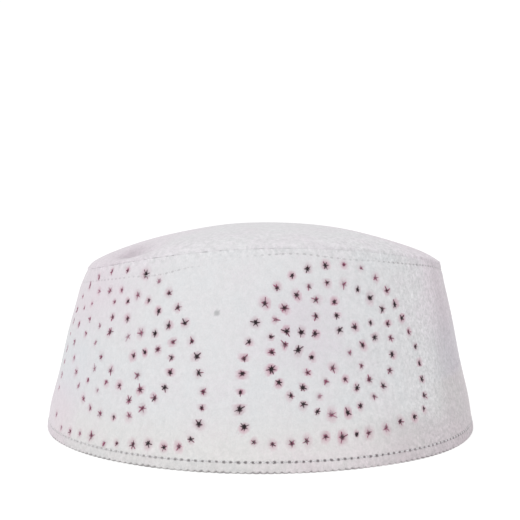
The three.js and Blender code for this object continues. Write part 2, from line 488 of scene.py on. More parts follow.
@dataclass(frozen=True)
class BandRelief:
    """The low relief of the band's outer face: dents, pulled stars, sewn lines and soft unevenness.

    Attributes:
        far: How far from a star its marks can reach.
        apart_from: How far from a star, in millimetres, a point starts to belong to none.
        apart_over: Over how many millimetres it stops belonging to it.
        alone_from: How many millimetres farther the next star lies where a point belongs to one star alone,
            less the stretch that it takes to get there.
        alone_over: Over how many millimetres it comes to belong to one alone.
    """

    form: CapForm
    stars: StarField
    dents: tuple[SoftDent, ...] = (
        SoftDent(math.radians(52), 0.42, 1.1 * MM, 20 * MM, 15 * MM),
        SoftDent(math.radians(-10), 0.5, -0.66 * MM, 23 * MM, 23 * MM),
        SoftDent(math.radians(128), 0.5, 1.0 * MM, 23 * MM, 17 * MM),
        SoftDent(math.radians(-140), 0.46, 1.1 * MM, 26 * MM, 18 * MM),
    )
    fold: tuple[tuple[float, float], tuple[float, float]] = (
        (math.radians(56), 0.383), (math.radians(84), 0.417),
    )
    fold_depth: float = 0.3 * MM
    fold_spread: float = 0.7 * MM
    fold_fade: float = 0.25
    far: float = 3.4 * MM
    apart_from: float = 2.6
    apart_over: float = 0.7
    alone_from: float = 1.2
    alone_over: float = 0.8
    pit_depth: float = 0.34 * MM
    pit_spread: float = 0.5 * MM
    dimple_depth: float = 0.22 * MM
    dimple_spread: float = 1.9 * MM
    groove_depth: float = 0.24 * MM
    groove_spread: float = 0.8 * MM
    swell_share: float = 0.4
    swell_away: float = 2.1 * MM
    swell_spread: float = 1.3 * MM
    needle_depth: float = 0.26 * MM
    needle_spread_up: float = 0.45 * MM
    needle_spread_along: float = 0.4 * MM
    uneven_depth: float = 0.16 * MM
    uneven_turns: tuple[int, ...] = (3, 5, 7, 11, 17, 23, 31)
    uneven_waves: tuple[float, ...] = (0.7, 1.9, 3.3)
    seed: int = 5

    def arc_scale(self, share: np.ndarray) -> np.ndarray:
        """Gives the mean distance round the band for a turn of one radian, in metres."""
        mean_rim = (self.form.rim_half_width + self.form.rim_half_depth) / 2
        mean_seam = (self.form.seam_half_width + self.form.seam_half_depth) / 2
        return mean_rim + (mean_seam - mean_rim) * share

    def star_offsets(self, angle: np.ndarray, share: np.ndarray) -> tuple[np.ndarray, np.ndarray, np.ndarray]:
        """Finds how far each point lies from its nearest star.

        Args:
            angle: Directions of the points, in radians.
            share: Height shares of the points.

        Returns:
            Offsets in millimetres, the star's strength, which is 0 far away from stars, and how little the
            point belongs to one star alone, from 0 to 1.
        """
        offsets = np.full((len(angle), 2), self.far / MM)
        strength = np.zeros(len(angle))
        nearest = np.full(len(angle), 2 * self.far)
        second = np.full(len(angle), 2 * self.far)
        for star in self.stars.everyone():
            around = turn_between(angle, star.angle) * self.arc_scale(share)
            up = (share - star.share) * self.form.seam_height
            distance = np.hypot(around, up) / star.size
            closer = distance < nearest
            second = np.where(closer, nearest, np.minimum(second, distance))
            nearest[closer] = distance[closer]
            strength[closer] = star.strength
            offsets[closer, 0] = around[closer] / MM / star.size
            offsets[closer, 1] = up[closer] / MM / star.size
        outside = nearest > self.far
        offsets[outside] = self.far / MM
        strength[outside] = 0.0
        apart = smooth_step((nearest / MM - self.apart_from) / self.apart_over)
        between = 1.0 - smooth_step(((second - nearest) / MM - self.alone_from) / self.alone_over)
        return offsets, strength, np.maximum(apart, between)

    def sewn_line(self, line: StitchLine, angle: np.ndarray, height: np.ndarray) -> np.ndarray:
        """Gives how deep a row of topstitching pulls the cloth in."""
        away = height - line.share_at(angle) * self.form.seam_height
        hole = turn_between((angle / line.step()) % 1.0 * FULL_TURN, 0.0) / FULL_TURN
        along = hole * line.step() * self.form.seam_half_width
        shade = line.shade.at(angle)
        groove = self.groove_depth * bell(away, self.groove_spread)
        above = bell(away - self.swell_away, self.swell_spread)
        below = bell(away + self.swell_away, self.swell_spread)
        swell = self.swell_share * self.groove_depth * (above + below)
        pit = self.needle_depth * bell(away, self.needle_spread_up) * bell(along, self.needle_spread_along)
        return (groove - swell + pit) * shade

    def folded(self, angle: np.ndarray, share: np.ndarray) -> np.ndarray:
        """Gives how deep the faint fold of the +X side is, from 0 to 1."""
        (start, low), (end, high) = self.fold
        t = (angle - start) / (end - start)
        inside = smooth_step(t / self.fold_fade) * smooth_step((1.0 - t) / self.fold_fade)
        away = (share - (low + (high - low) * t)) * self.form.seam_height
        return inside * bell(away, self.fold_spread)

    def uneven(self, angle: np.ndarray, share: np.ndarray) -> np.ndarray:
        """Gives the soft unevenness of stiffened cloth, the same on each run."""
        rng = np.random.default_rng(self.seed)
        total = np.zeros(len(angle))
        for turns in self.uneven_turns:
            for waves in self.uneven_waves:
                phase = rng.uniform(0.0, FULL_TURN, 2)
                size = rng.normal(0.0, 1.0) / math.sqrt(turns)
                total += size * np.sin(turns * angle + phase[0]) * np.cos(waves * math.pi * share + phase[1])
        return self.uneven_depth * total

    def depth(self, angle: np.ndarray, height: np.ndarray) -> np.ndarray:
        """Gives how far the outer face lies inside the plain form, in metres."""
        share = height / self.form.seam_height
        total = np.zeros(len(angle))
        for dent in self.dents:
            around = turn_between(angle, dent.angle) * self.form.seam_half_width
            up = (share - dent.share) * self.form.seam_height
            total += dent.depth * bell(around, dent.spread_around) * bell(up, dent.spread_up)
        total = (total + self.uneven(angle, share)) * np.sin(math.pi * np.clip(share, 0.0, 1.0))
        offsets, strength, _ = self.star_offsets(angle, share)
        distance = np.hypot(offsets[:, 0], offsets[:, 1]) * MM
        pulled = self.pit_depth * bell(distance, self.pit_spread)
        pulled = pulled + self.dimple_depth * bell(distance, self.dimple_spread)
        total += np.where(strength > 0.0, pulled, 0.0)
        total += self.sewn_line(SEAM_LINE, angle, height)
        total += self.fold_depth * self.folded(angle, share)
        return total


@dataclass(frozen=True)
class ClothPatch:
    """A soft-edged stretch of the cloth that differs from the rest in tint or in how its nap lies.

    Attributes:
        angle: Its middle's direction, in degrees.
        half_width: How far it reaches to each side, in degrees.
        softness: How wide its side edges are, in degrees.
        strength: How much it differs.
        low: The height share of its lower edge.
        high: The height share of its upper edge.
        low_softness: How wide the lower edge is, as a height share.
        high_softness: How wide the upper edge is, as a height share.
        sweep: How much wider each side is at the rim than at the seam, in degrees.
        climb: How much its upper and lower edge rise with the direction, as a height share for each degree.
    """

    angle: float
    half_width: float
    softness: float
    strength: float
    low: float = -9.0
    high: float = 9.0
    low_softness: float = 0.12
    high_softness: float = 0.12
    sweep: float = 0.0
    climb: float = 0.0

    def at(self, angle: np.ndarray, share: np.ndarray) -> np.ndarray:
        """Gives how strongly the patch shows at directions in radians and height shares."""
        turned = np.degrees(turn_between(angle, math.radians(self.angle)))
        away = np.abs(turned) - self.half_width - self.sweep * (0.5 - share)
        raised = share - self.climb * turned
        inside = 1.0 - smooth_step(away / self.softness + 0.5)
        inside *= smooth_step((raised - self.low) / self.low_softness + 0.5)
        return self.strength * inside * (1.0 - smooth_step((raised - self.high) / self.high_softness + 0.5))


@dataclass(frozen=True)
class NapLieAndShade:
    """How the nap lies, where shade is painted on the cloth, how fuzzy the nap is, and where the cloth is
    rosy, warm or cool.
    """

    # Patches painted darker. The first three are painted shade on the +X side, which turns away from the key
    # light, down to the rim; the others are where the nap lies the other way and looks duller.
    dull_and_shaded: tuple[ClothPatch, ...] = (
        ClothPatch(62.0, 9.0, 12.0, 0.69, sweep=12.0),
        ClothPatch(100.0, 42.0, 20.0, 0.53, sweep=12.0),
        ClothPatch(63.0, 35.0, 20.0, 0.52, high=0.2),
        ClothPatch(10.0, 8.0, 14.0, 0.14, low=0.45, high=0.8, low_softness=0.2, high_softness=0.2),
        ClothPatch(-158.0, 20.0, 16.0, 0.35),
        ClothPatch(-99.0, 8.0, 14.0, 0.12),
    )
    rosy: tuple[ClothPatch, ...] = (
        ClothPatch(-78.0, 40.0, 30.0, 1.3, low=0.7, low_softness=0.3),
        ClothPatch(60.0, 14.0, 20.0, 0.75, low=0.62, low_softness=0.3),
        ClothPatch(-68.0, 16.0, 16.0, 1.5, high=0.3, high_softness=0.3),
        ClothPatch(10.0, 8.0, 14.0, 0.6, low=0.45, high=0.8, low_softness=0.2, high_softness=0.2),
        ClothPatch(34.0, 32.0, 22.0, 0.75, high=0.13, high_softness=0.2),
        ClothPatch(90.0, 36.0, 24.0, 0.6),
        ClothPatch(-150.0, 34.0, 30.0, 0.7),
    )
    cool: tuple[ClothPatch, ...] = (
        ClothPatch(-62.0, 14.0, 24.0, 1.0, low=0.3, high=0.62, low_softness=0.2, high_softness=0.2),
        ClothPatch(76.0, 22.0, 20.0, 0.9, low=0.385, high=0.68, low_softness=0.05, high_softness=0.3,
                   climb=0.0012),
        ClothPatch(12.0, 16.0, 24.0, 0.3, low=0.4, high=0.85, low_softness=0.3),
        ClothPatch(160.0, 24.0, 30.0, 0.8, low=0.5, low_softness=0.3),
    )
    warm: tuple[ClothPatch, ...] = (
        ClothPatch(4.0, 44.0, 24.0, 0.7, high=0.2, high_softness=0.24),
        ClothPatch(76.0, 26.0, 18.0, 0.6, high=0.375, high_softness=0.05, climb=0.0012),
        ClothPatch(-52.0, 12.0, 18.0, 0.5, high=0.2, high_softness=0.2),
        ClothPatch(-120.0, 20.0, 26.0, 0.6, high=0.4, high_softness=0.3),
    )
    fuzz: RoundKeys = RoundKeys((
        (-100.0, 0.4), (-70.0, 0.14), (10.0, 0.1), (32.0, 0.4), (46.0, 0.95), (100.0, 1.0), (180.0, 0.8),
        (220.0, 0.7),
    ))
    edge_fuzz: float = 0.5
    rim_fuzz_reach: float = 0.07
    seam_fuzz_from: float = 0.95
    seam_fuzz_over: float = 0.04

    def dull_nap_and_shade(self, angle: np.ndarray, share: np.ndarray) -> np.ndarray:
        """Gives how much duller the nap is and how much shade is painted on it, at directions and height
        shares, from 0 to 1.
        """
        return np.max([patch.at(angle, share) for patch in self.dull_and_shaded], axis=0)

    def tint(self, patches: tuple[ClothPatch, ...], angle: np.ndarray, share: np.ndarray) -> np.ndarray:
        """Adds up the tint patches at directions and height shares."""
        return np.sum([patch.at(angle, share) for patch in patches], axis=0)

    def fuzziness(self, angle: np.ndarray, share: np.ndarray) -> np.ndarray:
        """Gives how much the nap's tufts stand out at directions and height shares, from 0 to 1."""
        rim = self.edge_fuzz * np.exp(-share / self.rim_fuzz_reach)
        seam = self.edge_fuzz * smooth_step((share - self.seam_fuzz_from) / self.seam_fuzz_over)
        return np.clip(self.fuzz.at(angle) + (rim + seam), 0.0, 1.0)


class Cloth(Enum):
    """Which cloth face a finish is for."""

    BAND = "band_cloth"
    CROWN = "crown_cloth"
    HEM = "hem_cloth"


@dataclass(frozen=True)
class NappedCloth:
    """Pale grey-white napped cloth, mottled with rose and cool grey, with a short raised pile.

    Attributes:
        cloth: The face it is for.
        starred: Whether the cloth takes the stains of the stars and the painted shade of their centre holes.
        rows: The rows of topstitching whose needle holes take painted shade.
        shadowed_rim: Whether painted shadow darkens the lower edge at the rim, where it meets the floor, most
            at the stitches' nicks.
    """

    cloth: Cloth
    starred: bool = False
    rows: tuple["NeedleRow", ...] = ()
    shadowed_rim: bool = False
    pale: Colour = (0.58, 0.577, 0.589)
    rose: Colour = (0.586, 0.562, 0.588)
    deep_rose: Colour = (0.59, 0.543, 0.58)
    cool: Colour = (0.572, 0.578, 0.592)
    warm_tint: Colour = (1.015, 1.0, 0.962)
    cool_tint: Colour = (0.982, 0.995, 1.014)
    # The darker tint of duller nap and of painted shade.
    dull_and_shaded: Colour = (0.752, 0.722, 0.74)
    stain: Colour = (0.5, 0.2, 0.29)
    bruise: Colour = (0.25, 0.1, 0.145)
    # The dark of each star's centre hole: painted shade in the hole where the dark threads meet.
    hole: Colour = (0.03, 0.008, 0.016)
    smudge: Colour = (0.36, 0.362, 0.37)
    # Painted shadow under the rim's edge, where it meets the floor.
    rim_shadow: Colour = (0.09, 0.075, 0.08)
    patch_waves: float = 95.0
    fleck_waves: float = 520.0
    tuft_waves: float = 950.0
    pile_waves: float = 2000.0
    pile_stretch: tuple[float, float, float] = (1.0, 1.0, 0.8)
    patch_rosiness: float = 1.6
    tuft_rosiness: float = 1.2
    rosiness_scale: float = 0.36
    fleck_fuzz: float = 0.5
    tuft_fuzz: float = 0.62
    dull_and_shade_raggedness: float = 0.45
    relief_share: float = 0.4
    star_raggedness: float = 1.3
    star_parting: float = 3.6
    showing_power: float = 0.6
    bleed_reach: tuple[float, float] = (0.8, 3.2)
    bruise_reach: tuple[float, float] = (0.3, 2.3)
    bruise_share: float = 0.36
    hole_shade_reach: tuple[float, float] = (0.28, 0.92)
    # How far up the painted rim shadow reaches, and how strong, ragged, nicked and patchy it is.
    rim_shadow_reach: tuple[float, float] = (0.1, 1.0)
    rim_shadow_share: float = 0.62
    rim_shadow_raggedness: float = 0.8
    rim_shadow_nicks: float = 0.8
    rim_shadow_patchiness: float = 1.9

    def make(self) -> Material:
        """Builds the material.

        Returns:
            The finished material.
        """
        material = bpy.data.materials.new(self.cloth.value + "_finish")
        material.use_nodes = True
        tree = NodeTree(material)
        surface = tree.surface(roughness=0.92)
        surface.inputs["Specular IOR Level"].default_value = 0.18
        surface.inputs["Sheen Weight"].default_value = 0.2
        surface.inputs["Sheen Roughness"].default_value = 0.45
        place = tree.object_place()
        patches = tree.noise(place, self.patch_waves, 3.0, 0.55)
        flecks = tree.noise(place, self.fleck_waves, 3.0, 0.6)
        tufts = tree.noise(place, self.tuft_waves, 2.0, 0.65)
        pile = tree.noise(tree.stretched(place, self.pile_stretch), self.pile_waves, 2.0, 0.6)
        rosy = tree.sum(tree.attribute("rosiness"), tree.scaled(patches, self.patch_rosiness),
                        tree.scaled(tree.signed(tufts), self.tuft_rosiness))
        colour = tree.ramp(tree.scaled(rosy, self.rosiness_scale),
                           ((0.2, self.cool), (0.34, self.pale), (0.55, self.rose), (0.82, self.deep_rose)))
        colour = tree.tinted(tree.attribute("warmth"), colour, self.warm_tint)
        colour = tree.tinted(tree.attribute("coolness"), colour, self.cool_tint)
        colour = tree.shaded(colour, flecks, 0.978, 1.016)
        colour = tree.shaded(colour, pile, 0.965, 1.03)
        uneven = tree.sum(tree.scaled(tree.signed(flecks), self.fleck_fuzz),
                          tree.scaled(tree.signed(tufts), self.tuft_fuzz))
        fuzz = tree.product(tree.attribute("fuzz"), uneven)
        colour = tree.brightened(colour, tree.math("ADD", fuzz, 1.0))
        # Painted shade and duller nap: the cloth is tinted darker, raggedly, by the patches' attribute.
        ragged_dull_and_shade = tree.math("ADD", tree.scaled(tree.signed(flecks), self.dull_and_shade_raggedness), 1.0)
        colour = tree.tinted(tree.product(ragged_dull_and_shade, tree.attribute("dull_nap_and_shade")), colour, self.dull_and_shaded)
        height = tree.sum(*[tree.scaled(relief, self.relief_share) for relief in (pile, flecks, tufts)])
        if self.starred:
            colour = self.star_colours(tree, colour, place)
        for row in self.rows:
            colour = row.holes(tree, colour, place)
        # Painted shadow along the rim's lower edge.
        if self.shadowed_rim:
            colour = self.painted_rim_shadow(tree, colour, place)
        tree.link(colour, surface.inputs["Base Color"])
        tree.bump(height, surface, strength=0.5, distance=0.25 * MM)
        return material

    def star_colours(self, tree: "NodeTree", colour: Socket,
                     place: Socket) -> Socket:
        """Adds the rose bleed of each star, painted shade in its centre hole, and the small smudges.

        Args:
            tree: The material being built.
            colour: The cloth's colour so far.
            place: The object coordinates.

        Returns:
            The colour with the stars' marks.
        """
        offset = tree.attribute("star_offset", "Vector")
        strength = tree.attribute("star_strength")
        ragged = tree.signed(tree.noise(place, 900.0, 2.0, 0.7))
        distance = tree.sum(tree.length(offset), tree.scaled(tree.attribute("star_far"), self.star_parting),
                            tree.scaled(ragged, self.star_raggedness))
        showing = tree.math("POWER", strength, self.showing_power)
        bleed = tree.fall(distance, *self.bleed_reach)
        runny = tree.ranged(tree.noise(place, 130.0, 1.0, 0.5), (0.36, 0.66), (0.08, 0.44))
        colour = tree.mixed(tree.product(bleed, runny, showing), colour, self.stain)
        bruised = tree.scaled(tree.fall(distance, *self.bruise_reach), self.bruise_share)
        colour = tree.mixed(tree.product(bruised, showing), colour, self.bruise)
        # Painted shade in the star's centre hole.
        painted_hole_shade = tree.fall(distance, *self.hole_shade_reach)
        colour = tree.mixed(tree.product(painted_hole_shade, showing), colour, self.hole)
        return tree.mixed(tree.attribute("smudge"), colour, self.smudge)

    def painted_rim_shadow(self, tree: "NodeTree", colour: Socket,
                  place: Socket) -> Socket:
        """Paints shadow on the very edge at the rim, where it meets the floor, most where the stitches nick
        it.

        Args:
            tree: The material being built.
            colour: The cloth's colour so far.
            place: The object coordinates.

        Returns:
            The colour with the painted rim shadow.
        """
        along, _ = tree.map_axes(HEM_LINE.name)
        ragged = tree.signed(tree.noise(place, 700.0, 2.0, 0.6))
        # Coarse patches in the painted rim shadow.
        patchy_shadow = tree.signed(tree.noise(place, 75.0, 2.0, 0.6))
        rise = tree.sum(tree.attribute("edge_height"), tree.scaled(ragged, self.rim_shadow_raggedness),
                        tree.scaled(tree.distance_to_whole(along), self.rim_shadow_nicks),
                        tree.scaled(patchy_shadow, self.rim_shadow_patchiness))
        return tree.mixed(tree.scaled(tree.fall(rise, *self.rim_shadow_reach), self.rim_shadow_share), colour, self.rim_shadow)


@dataclass(frozen=True)
class NeedleRow:
    """The needle holes of one row of topstitching, as painted shade in the cloth's colour.

    Attributes:
        line: The row.
        pitch: The distance between two holes, in millimetres.
        width: How far a hole's dark mark reaches along the row, in millimetres.
        height: How far it reaches across the row, in millimetres.
        strength: How dark the painted shade is, from 0 to 1.
        dark: The painted shade's colour.
        raggedness: How uneven its edge is, against its reach.
        reach: Where its dark starts to fade and where it ends, against its width and height.
    """

    line: StitchLine
    pitch: float
    width: float
    height: float
    strength: float
    dark: Colour = (0.07, 0.055, 0.062)
    raggedness: float = 1.1
    reach: tuple[float, float] = (0.45, 1.15)

    def holes(self, tree: "NodeTree", colour: Socket,
              place: Socket) -> Socket:
        """Paints shade into the cloth at each needle hole.

        Args:
            tree: The material being built.
            colour: The cloth's colour so far.
            place: The object coordinates.

        Returns:
            The colour with the painted shade of the needle holes.
        """
        along, away = tree.map_axes(self.line.name)
        ragged = tree.signed(tree.noise(place, 650.0, 1.0, 0.5))
        from_hole = tree.scaled(tree.distance_to_whole(along), self.pitch / self.width)
        distance = tree.length_of(from_hole, tree.scaled(away, 1.0 / self.height))
        distance = tree.sum(distance, tree.scaled(ragged, self.raggedness))
        shade = tree.attribute(self.line.name + "_shade")
        # Painted shade at each needle hole.
        marks = tree.product(tree.fall(distance, *self.reach), tree.scaled(shade, self.strength))
        return tree.mixed(marks, colour, self.dark)


SEAM_HOLES = NeedleRow(SEAM_LINE, pitch=2.5, width=0.7, height=0.38, strength=0.5)
HEM_HOLES = NeedleRow(HEM_LINE, pitch=2.45, width=0.78, height=0.5, strength=0.72)


@dataclass(frozen=True)
class Thread:
    """Embroidery or sewing thread: two plies, slightly glossy.

    Attributes:
        name: The material's name.
        deep: The colour of the strongest thread.
        light: The colour of paler thread.
        faint: The colour of thread that the cloth's pile half hides.
        by_star: Whether the colour follows the star's strength.
        roughness: How rough its surface is.
        fibre_waves: How fine its fibres are, in waves to the metre.
        tip_fading: How much fainter a stitch is at its outer end.
        fibre_fading: How much its colour changes from fibre to fibre.
    """

    name: str
    deep: Colour
    light: Colour
    faint: Colour = (0.47, 0.36, 0.41)
    by_star: bool = False
    roughness: float = 0.62
    fibre_waves: float = 2600.0
    tip_fading: float = -0.55
    fibre_fading: float = 0.5

    def make(self) -> Material:
        """Builds the material.

        Returns:
            The finished material.
        """
        material = bpy.data.materials.new(self.name)
        material.use_nodes = True
        tree = NodeTree(material)
        surface = tree.surface(roughness=self.roughness)
        surface.inputs["Specular IOR Level"].default_value = 0.35
        surface.inputs["Sheen Weight"].default_value = 0.12
        place = tree.object_place()
        fibres = tree.noise(place, self.fibre_waves, 2.0, 0.6)
        if self.by_star:
            blend = tree.sum(tree.attribute("strength"),
                             tree.scaled(tree.attribute("reach"), self.tip_fading),
                             tree.scaled(tree.signed(fibres), self.fibre_fading))
            colour = tree.ramp(tree.math("ADD", tree.scaled(blend, 0.8), 0.25),
                               ((0.05, self.faint), (0.4, self.light), (0.78, self.deep)))
        else:
            colour = tree.ramp(fibres, ((0.3, self.deep), (0.7, self.light)))
        colour = tree.shaded(colour, fibres, 0.72, 1.25)
        tree.link(colour, surface.inputs["Base Color"])
        tree.bump(fibres, surface, strength=0.6, distance=0.1 * MM)
        return material


MIDDLE_RANGE = (0.28, 0.72)


class NodeTree:
    """Short words for the shader nodes that the finishes are made of."""

    def __init__(self, material: Material) -> None:
        """Starts an empty tree.

        Args:
            material: The material whose nodes are built.
        """
        self.nodes = material.node_tree.nodes
        self.links = material.node_tree.links
        self.nodes.clear()

    def link(self, source: Socket, target: Socket) -> None:
        """Joins an output to an input."""
        self.links.new(source, target)

    def surface(self, roughness: float) -> bpy.types.Node:
        """Adds the surface shader and the output.

        Args:
            roughness: The surface's roughness.

        Returns:
            The surface shader.
        """
        shader = self.nodes.new("ShaderNodeBsdfPrincipled")
        output = self.nodes.new("ShaderNodeOutputMaterial")
        shader.inputs["Roughness"].default_value = roughness
        self.link(shader.outputs["BSDF"], output.inputs["Surface"])
        return shader

    def object_place(self) -> Socket:
        """Gives the object coordinates."""
        return self.nodes.new("ShaderNodeTexCoord").outputs["Object"]

    def stretched(self, place: Socket, scale: tuple[float, float, float]) -> Socket:
        """Gives coordinates stretched along each axis."""
        mapping = self.nodes.new("ShaderNodeMapping")
        mapping.inputs["Scale"].default_value = scale
        self.link(place, mapping.inputs["Vector"])
        return mapping.outputs["Vector"]

    def noise(self, place: Socket, scale: float, detail: float, rough: float) -> Socket:
        """Adds a noise of a scale, in waves to the metre, and gives its value."""
        node = self.nodes.new("ShaderNodeTexNoise")
        node.inputs["Scale"].default_value = scale
        node.inputs["Detail"].default_value = detail
        node.inputs["Roughness"].default_value = rough
        self.link(place, node.inputs["Vector"])
        return node.outputs["Fac"]

    def attribute(self, name: str, output: str = "Fac") -> Socket:
        """Reads an attribute of the mesh."""
        node = self.nodes.new("ShaderNodeAttribute")
        node.attribute_name = name
        return node.outputs[output]

    def math(self, operation: str, first: Socket, second: Socket | float | None = None) -> Socket:
        """Adds one sum.

        Args:
            operation: The sum's name.
            first: Its first value.
            second: Its second value, a socket or a number, where it has one.

        Returns:
            The result.
        """
        node = self.nodes.new("ShaderNodeMath")
        node.operation = operation
        self.link(first, node.inputs[0])
        if isinstance(second, Socket):
            self.link(second, node.inputs[1])
        elif second is not None:
            node.inputs[1].default_value = second
        return node.outputs["Value"]

    def sum(self, first: Socket, *others: Socket) -> Socket:
        """Adds values."""
        return functools.reduce(functools.partial(self.math, "ADD"), others, first)

    def product(self, first: Socket, *others: Socket) -> Socket:
        """Multiplies values."""
        return functools.reduce(functools.partial(self.math, "MULTIPLY"), others, first)

    def scaled(self, value: Socket, factor: float) -> Socket:
        """Multiplies a value by a number."""
        return self.math("MULTIPLY", value, factor)

    def length(self, vector: Socket) -> Socket:
        """Gives the length of a vector."""
        node = self.nodes.new("ShaderNodeVectorMath")
        node.operation = "LENGTH"
        self.link(vector, node.inputs[0])
        return node.outputs["Value"]

    def length_of(self, first: Socket, second: Socket) -> Socket:
        """Gives the length of a vector of two values."""
        joined = self.nodes.new("ShaderNodeCombineXYZ")
        self.link(first, joined.inputs["X"])
        self.link(second, joined.inputs["Y"])
        return self.length(joined.outputs["Vector"])

    def distance_to_whole(self, value: Socket) -> Socket:
        """Gives how far a value is from the nearest whole number."""
        return self.math("PINGPONG", value, 0.5)

    def signed(self, value: Socket) -> Socket:
        """Moves a noise's middle to 0."""
        return self.math("SUBTRACT", value, 0.5)

    def map_axes(self, name: str) -> tuple[Socket, Socket]:
        """Gives the two axes of a UV map."""
        node = self.nodes.new("ShaderNodeUVMap")
        node.uv_map = name
        split = self.nodes.new("ShaderNodeSeparateXYZ")
        self.link(node.outputs["UV"], split.inputs["Vector"])
        return split.outputs["X"], split.outputs["Y"]

    def ranged(self, value: Socket, start: tuple[float, float],
               end: tuple[float, float]) -> Socket:
        """Maps one range on to another, softly and within its ends.

        Args:
            value: The value to map.
            start: The first range.
            end: The range it goes to.

        Returns:
            The mapped value.
        """
        node = self.nodes.new("ShaderNodeMapRange")
        node.interpolation_type = "SMOOTHSTEP"
        node.inputs["From Min"].default_value = start[0]
        node.inputs["From Max"].default_value = start[1]
        node.inputs["To Min"].default_value = end[0]
        node.inputs["To Max"].default_value = end[1]
        self.link(value, node.inputs["Value"])
        return node.outputs["Result"]

    def fall(self, value: Socket, near: float, far: float) -> Socket:
        """Gives 1 up to the near value and 0 from the far one."""
        return self.ranged(value, (near, far), (1.0, 0.0))

    def ramp(self, value: Socket,
             stops: tuple[tuple[float, Colour], ...]) -> Socket:
        """Turns a value into a colour.

        Args:
            value: The value.
            stops: Places from 0 to 1 with their colours.

        Returns:
            The colour.
        """
        node = self.nodes.new("ShaderNodeValToRGB")
        elements = node.color_ramp.elements
        while len(elements) < len(stops):
            elements.new(0.5)
        for element, (place, colour) in zip(elements, stops):
            element.position = place
            element.color = (*colour, 1.0)
        self.link(value, node.inputs["Fac"])
        return node.outputs["Color"]

    def mixed(self, share: Socket, colour: Socket, other: Colour, way: str = "MIX") -> Socket:
        """Mixes a second colour into a first by a share.

        Args:
            share: How much of the second colour is taken.
            colour: The first colour.
            other: The second colour.
            way: How the two are mixed.

        Returns:
            The mixed colour.
        """
        node = self.nodes.new("ShaderNodeMix")
        node.data_type = "RGBA"
        node.blend_type = way
        node.clamp_factor = True
        colour_inputs = [socket for socket in node.inputs if socket.type == "RGBA"]
        self.link(share, node.inputs[0])
        self.link(colour, colour_inputs[0])
        colour_inputs[1].default_value = (*other, 1.0)
        return next(socket for socket in node.outputs if socket.type == "RGBA")

    def tinted(self, share: Socket, colour: Socket, tint: Colour) -> Socket:
        """Multiplies a colour by a tint, by a share."""
        return self.mixed(share, colour, tint, "MULTIPLY")

    def brightened(self, colour: Socket, factor: Socket) -> Socket:
        """Scales a colour by a value.

        Args:
            colour: The colour.
            factor: What it is scaled by.

        Returns:
            The scaled colour.
        """
        node = self.nodes.new("ShaderNodeVectorMath")
        node.operation = "SCALE"
        self.link(colour, node.inputs[0])
        self.link(factor, node.inputs["Scale"])
        return node.outputs["Vector"]

    def shaded(self, colour: Socket, value: Socket, low: float, high: float) -> Socket:
        """Makes a colour darker and lighter by a value's middle range."""
        return self.brightened(colour, self.ranged(value, MIDDLE_RANGE, (low, high)))

    def bump(self, height: Socket, shader: bpy.types.Node, strength: float, distance: float) -> None:
        """Raises the surface by a height.

        Args:
            height: The height's value.
            shader: The surface shader.
            strength: How strongly it shows.
            distance: What a height of 1 stands for, in metres.
        """
        node = self.nodes.new("ShaderNodeBump")
        node.inputs["Strength"].default_value = strength
        node.inputs["Distance"].default_value = distance
        self.link(height, node.inputs["Height"])
        self.link(node.outputs["Normal"], shader.inputs["Normal"])


def arc_points(centre: tuple[float, float], radius: float, start: float, end: float, steps: int) -> Points:
    """Lists points on an arc of a profile.

    Args:
        centre: The arc's middle as (inward, height).
        radius: Its radius.
        start: Its first angle in degrees, from inward towards up.
        end: Its last angle.
        steps: How many steps it takes.

    Returns:
        The points as (inward, height).
    """
    points = []
    for index in range(steps + 1):
        turn = math.radians(start + (end - start) * index / steps)
        points.append((centre[0] + radius * math.cos(turn), centre[1] + radius * math.sin(turn)))
    return points


def run_points(start: tuple[float, float], end: tuple[float, float], steps: int) -> Points:
    """Lists points on a straight run of a profile, without its ends."""
    points = []
    for index in range(1, steps):
        t = index / steps
        points.append((start[0] + (end[0] - start[0]) * t, start[1] + (end[1] - start[1]) * t))
    return points


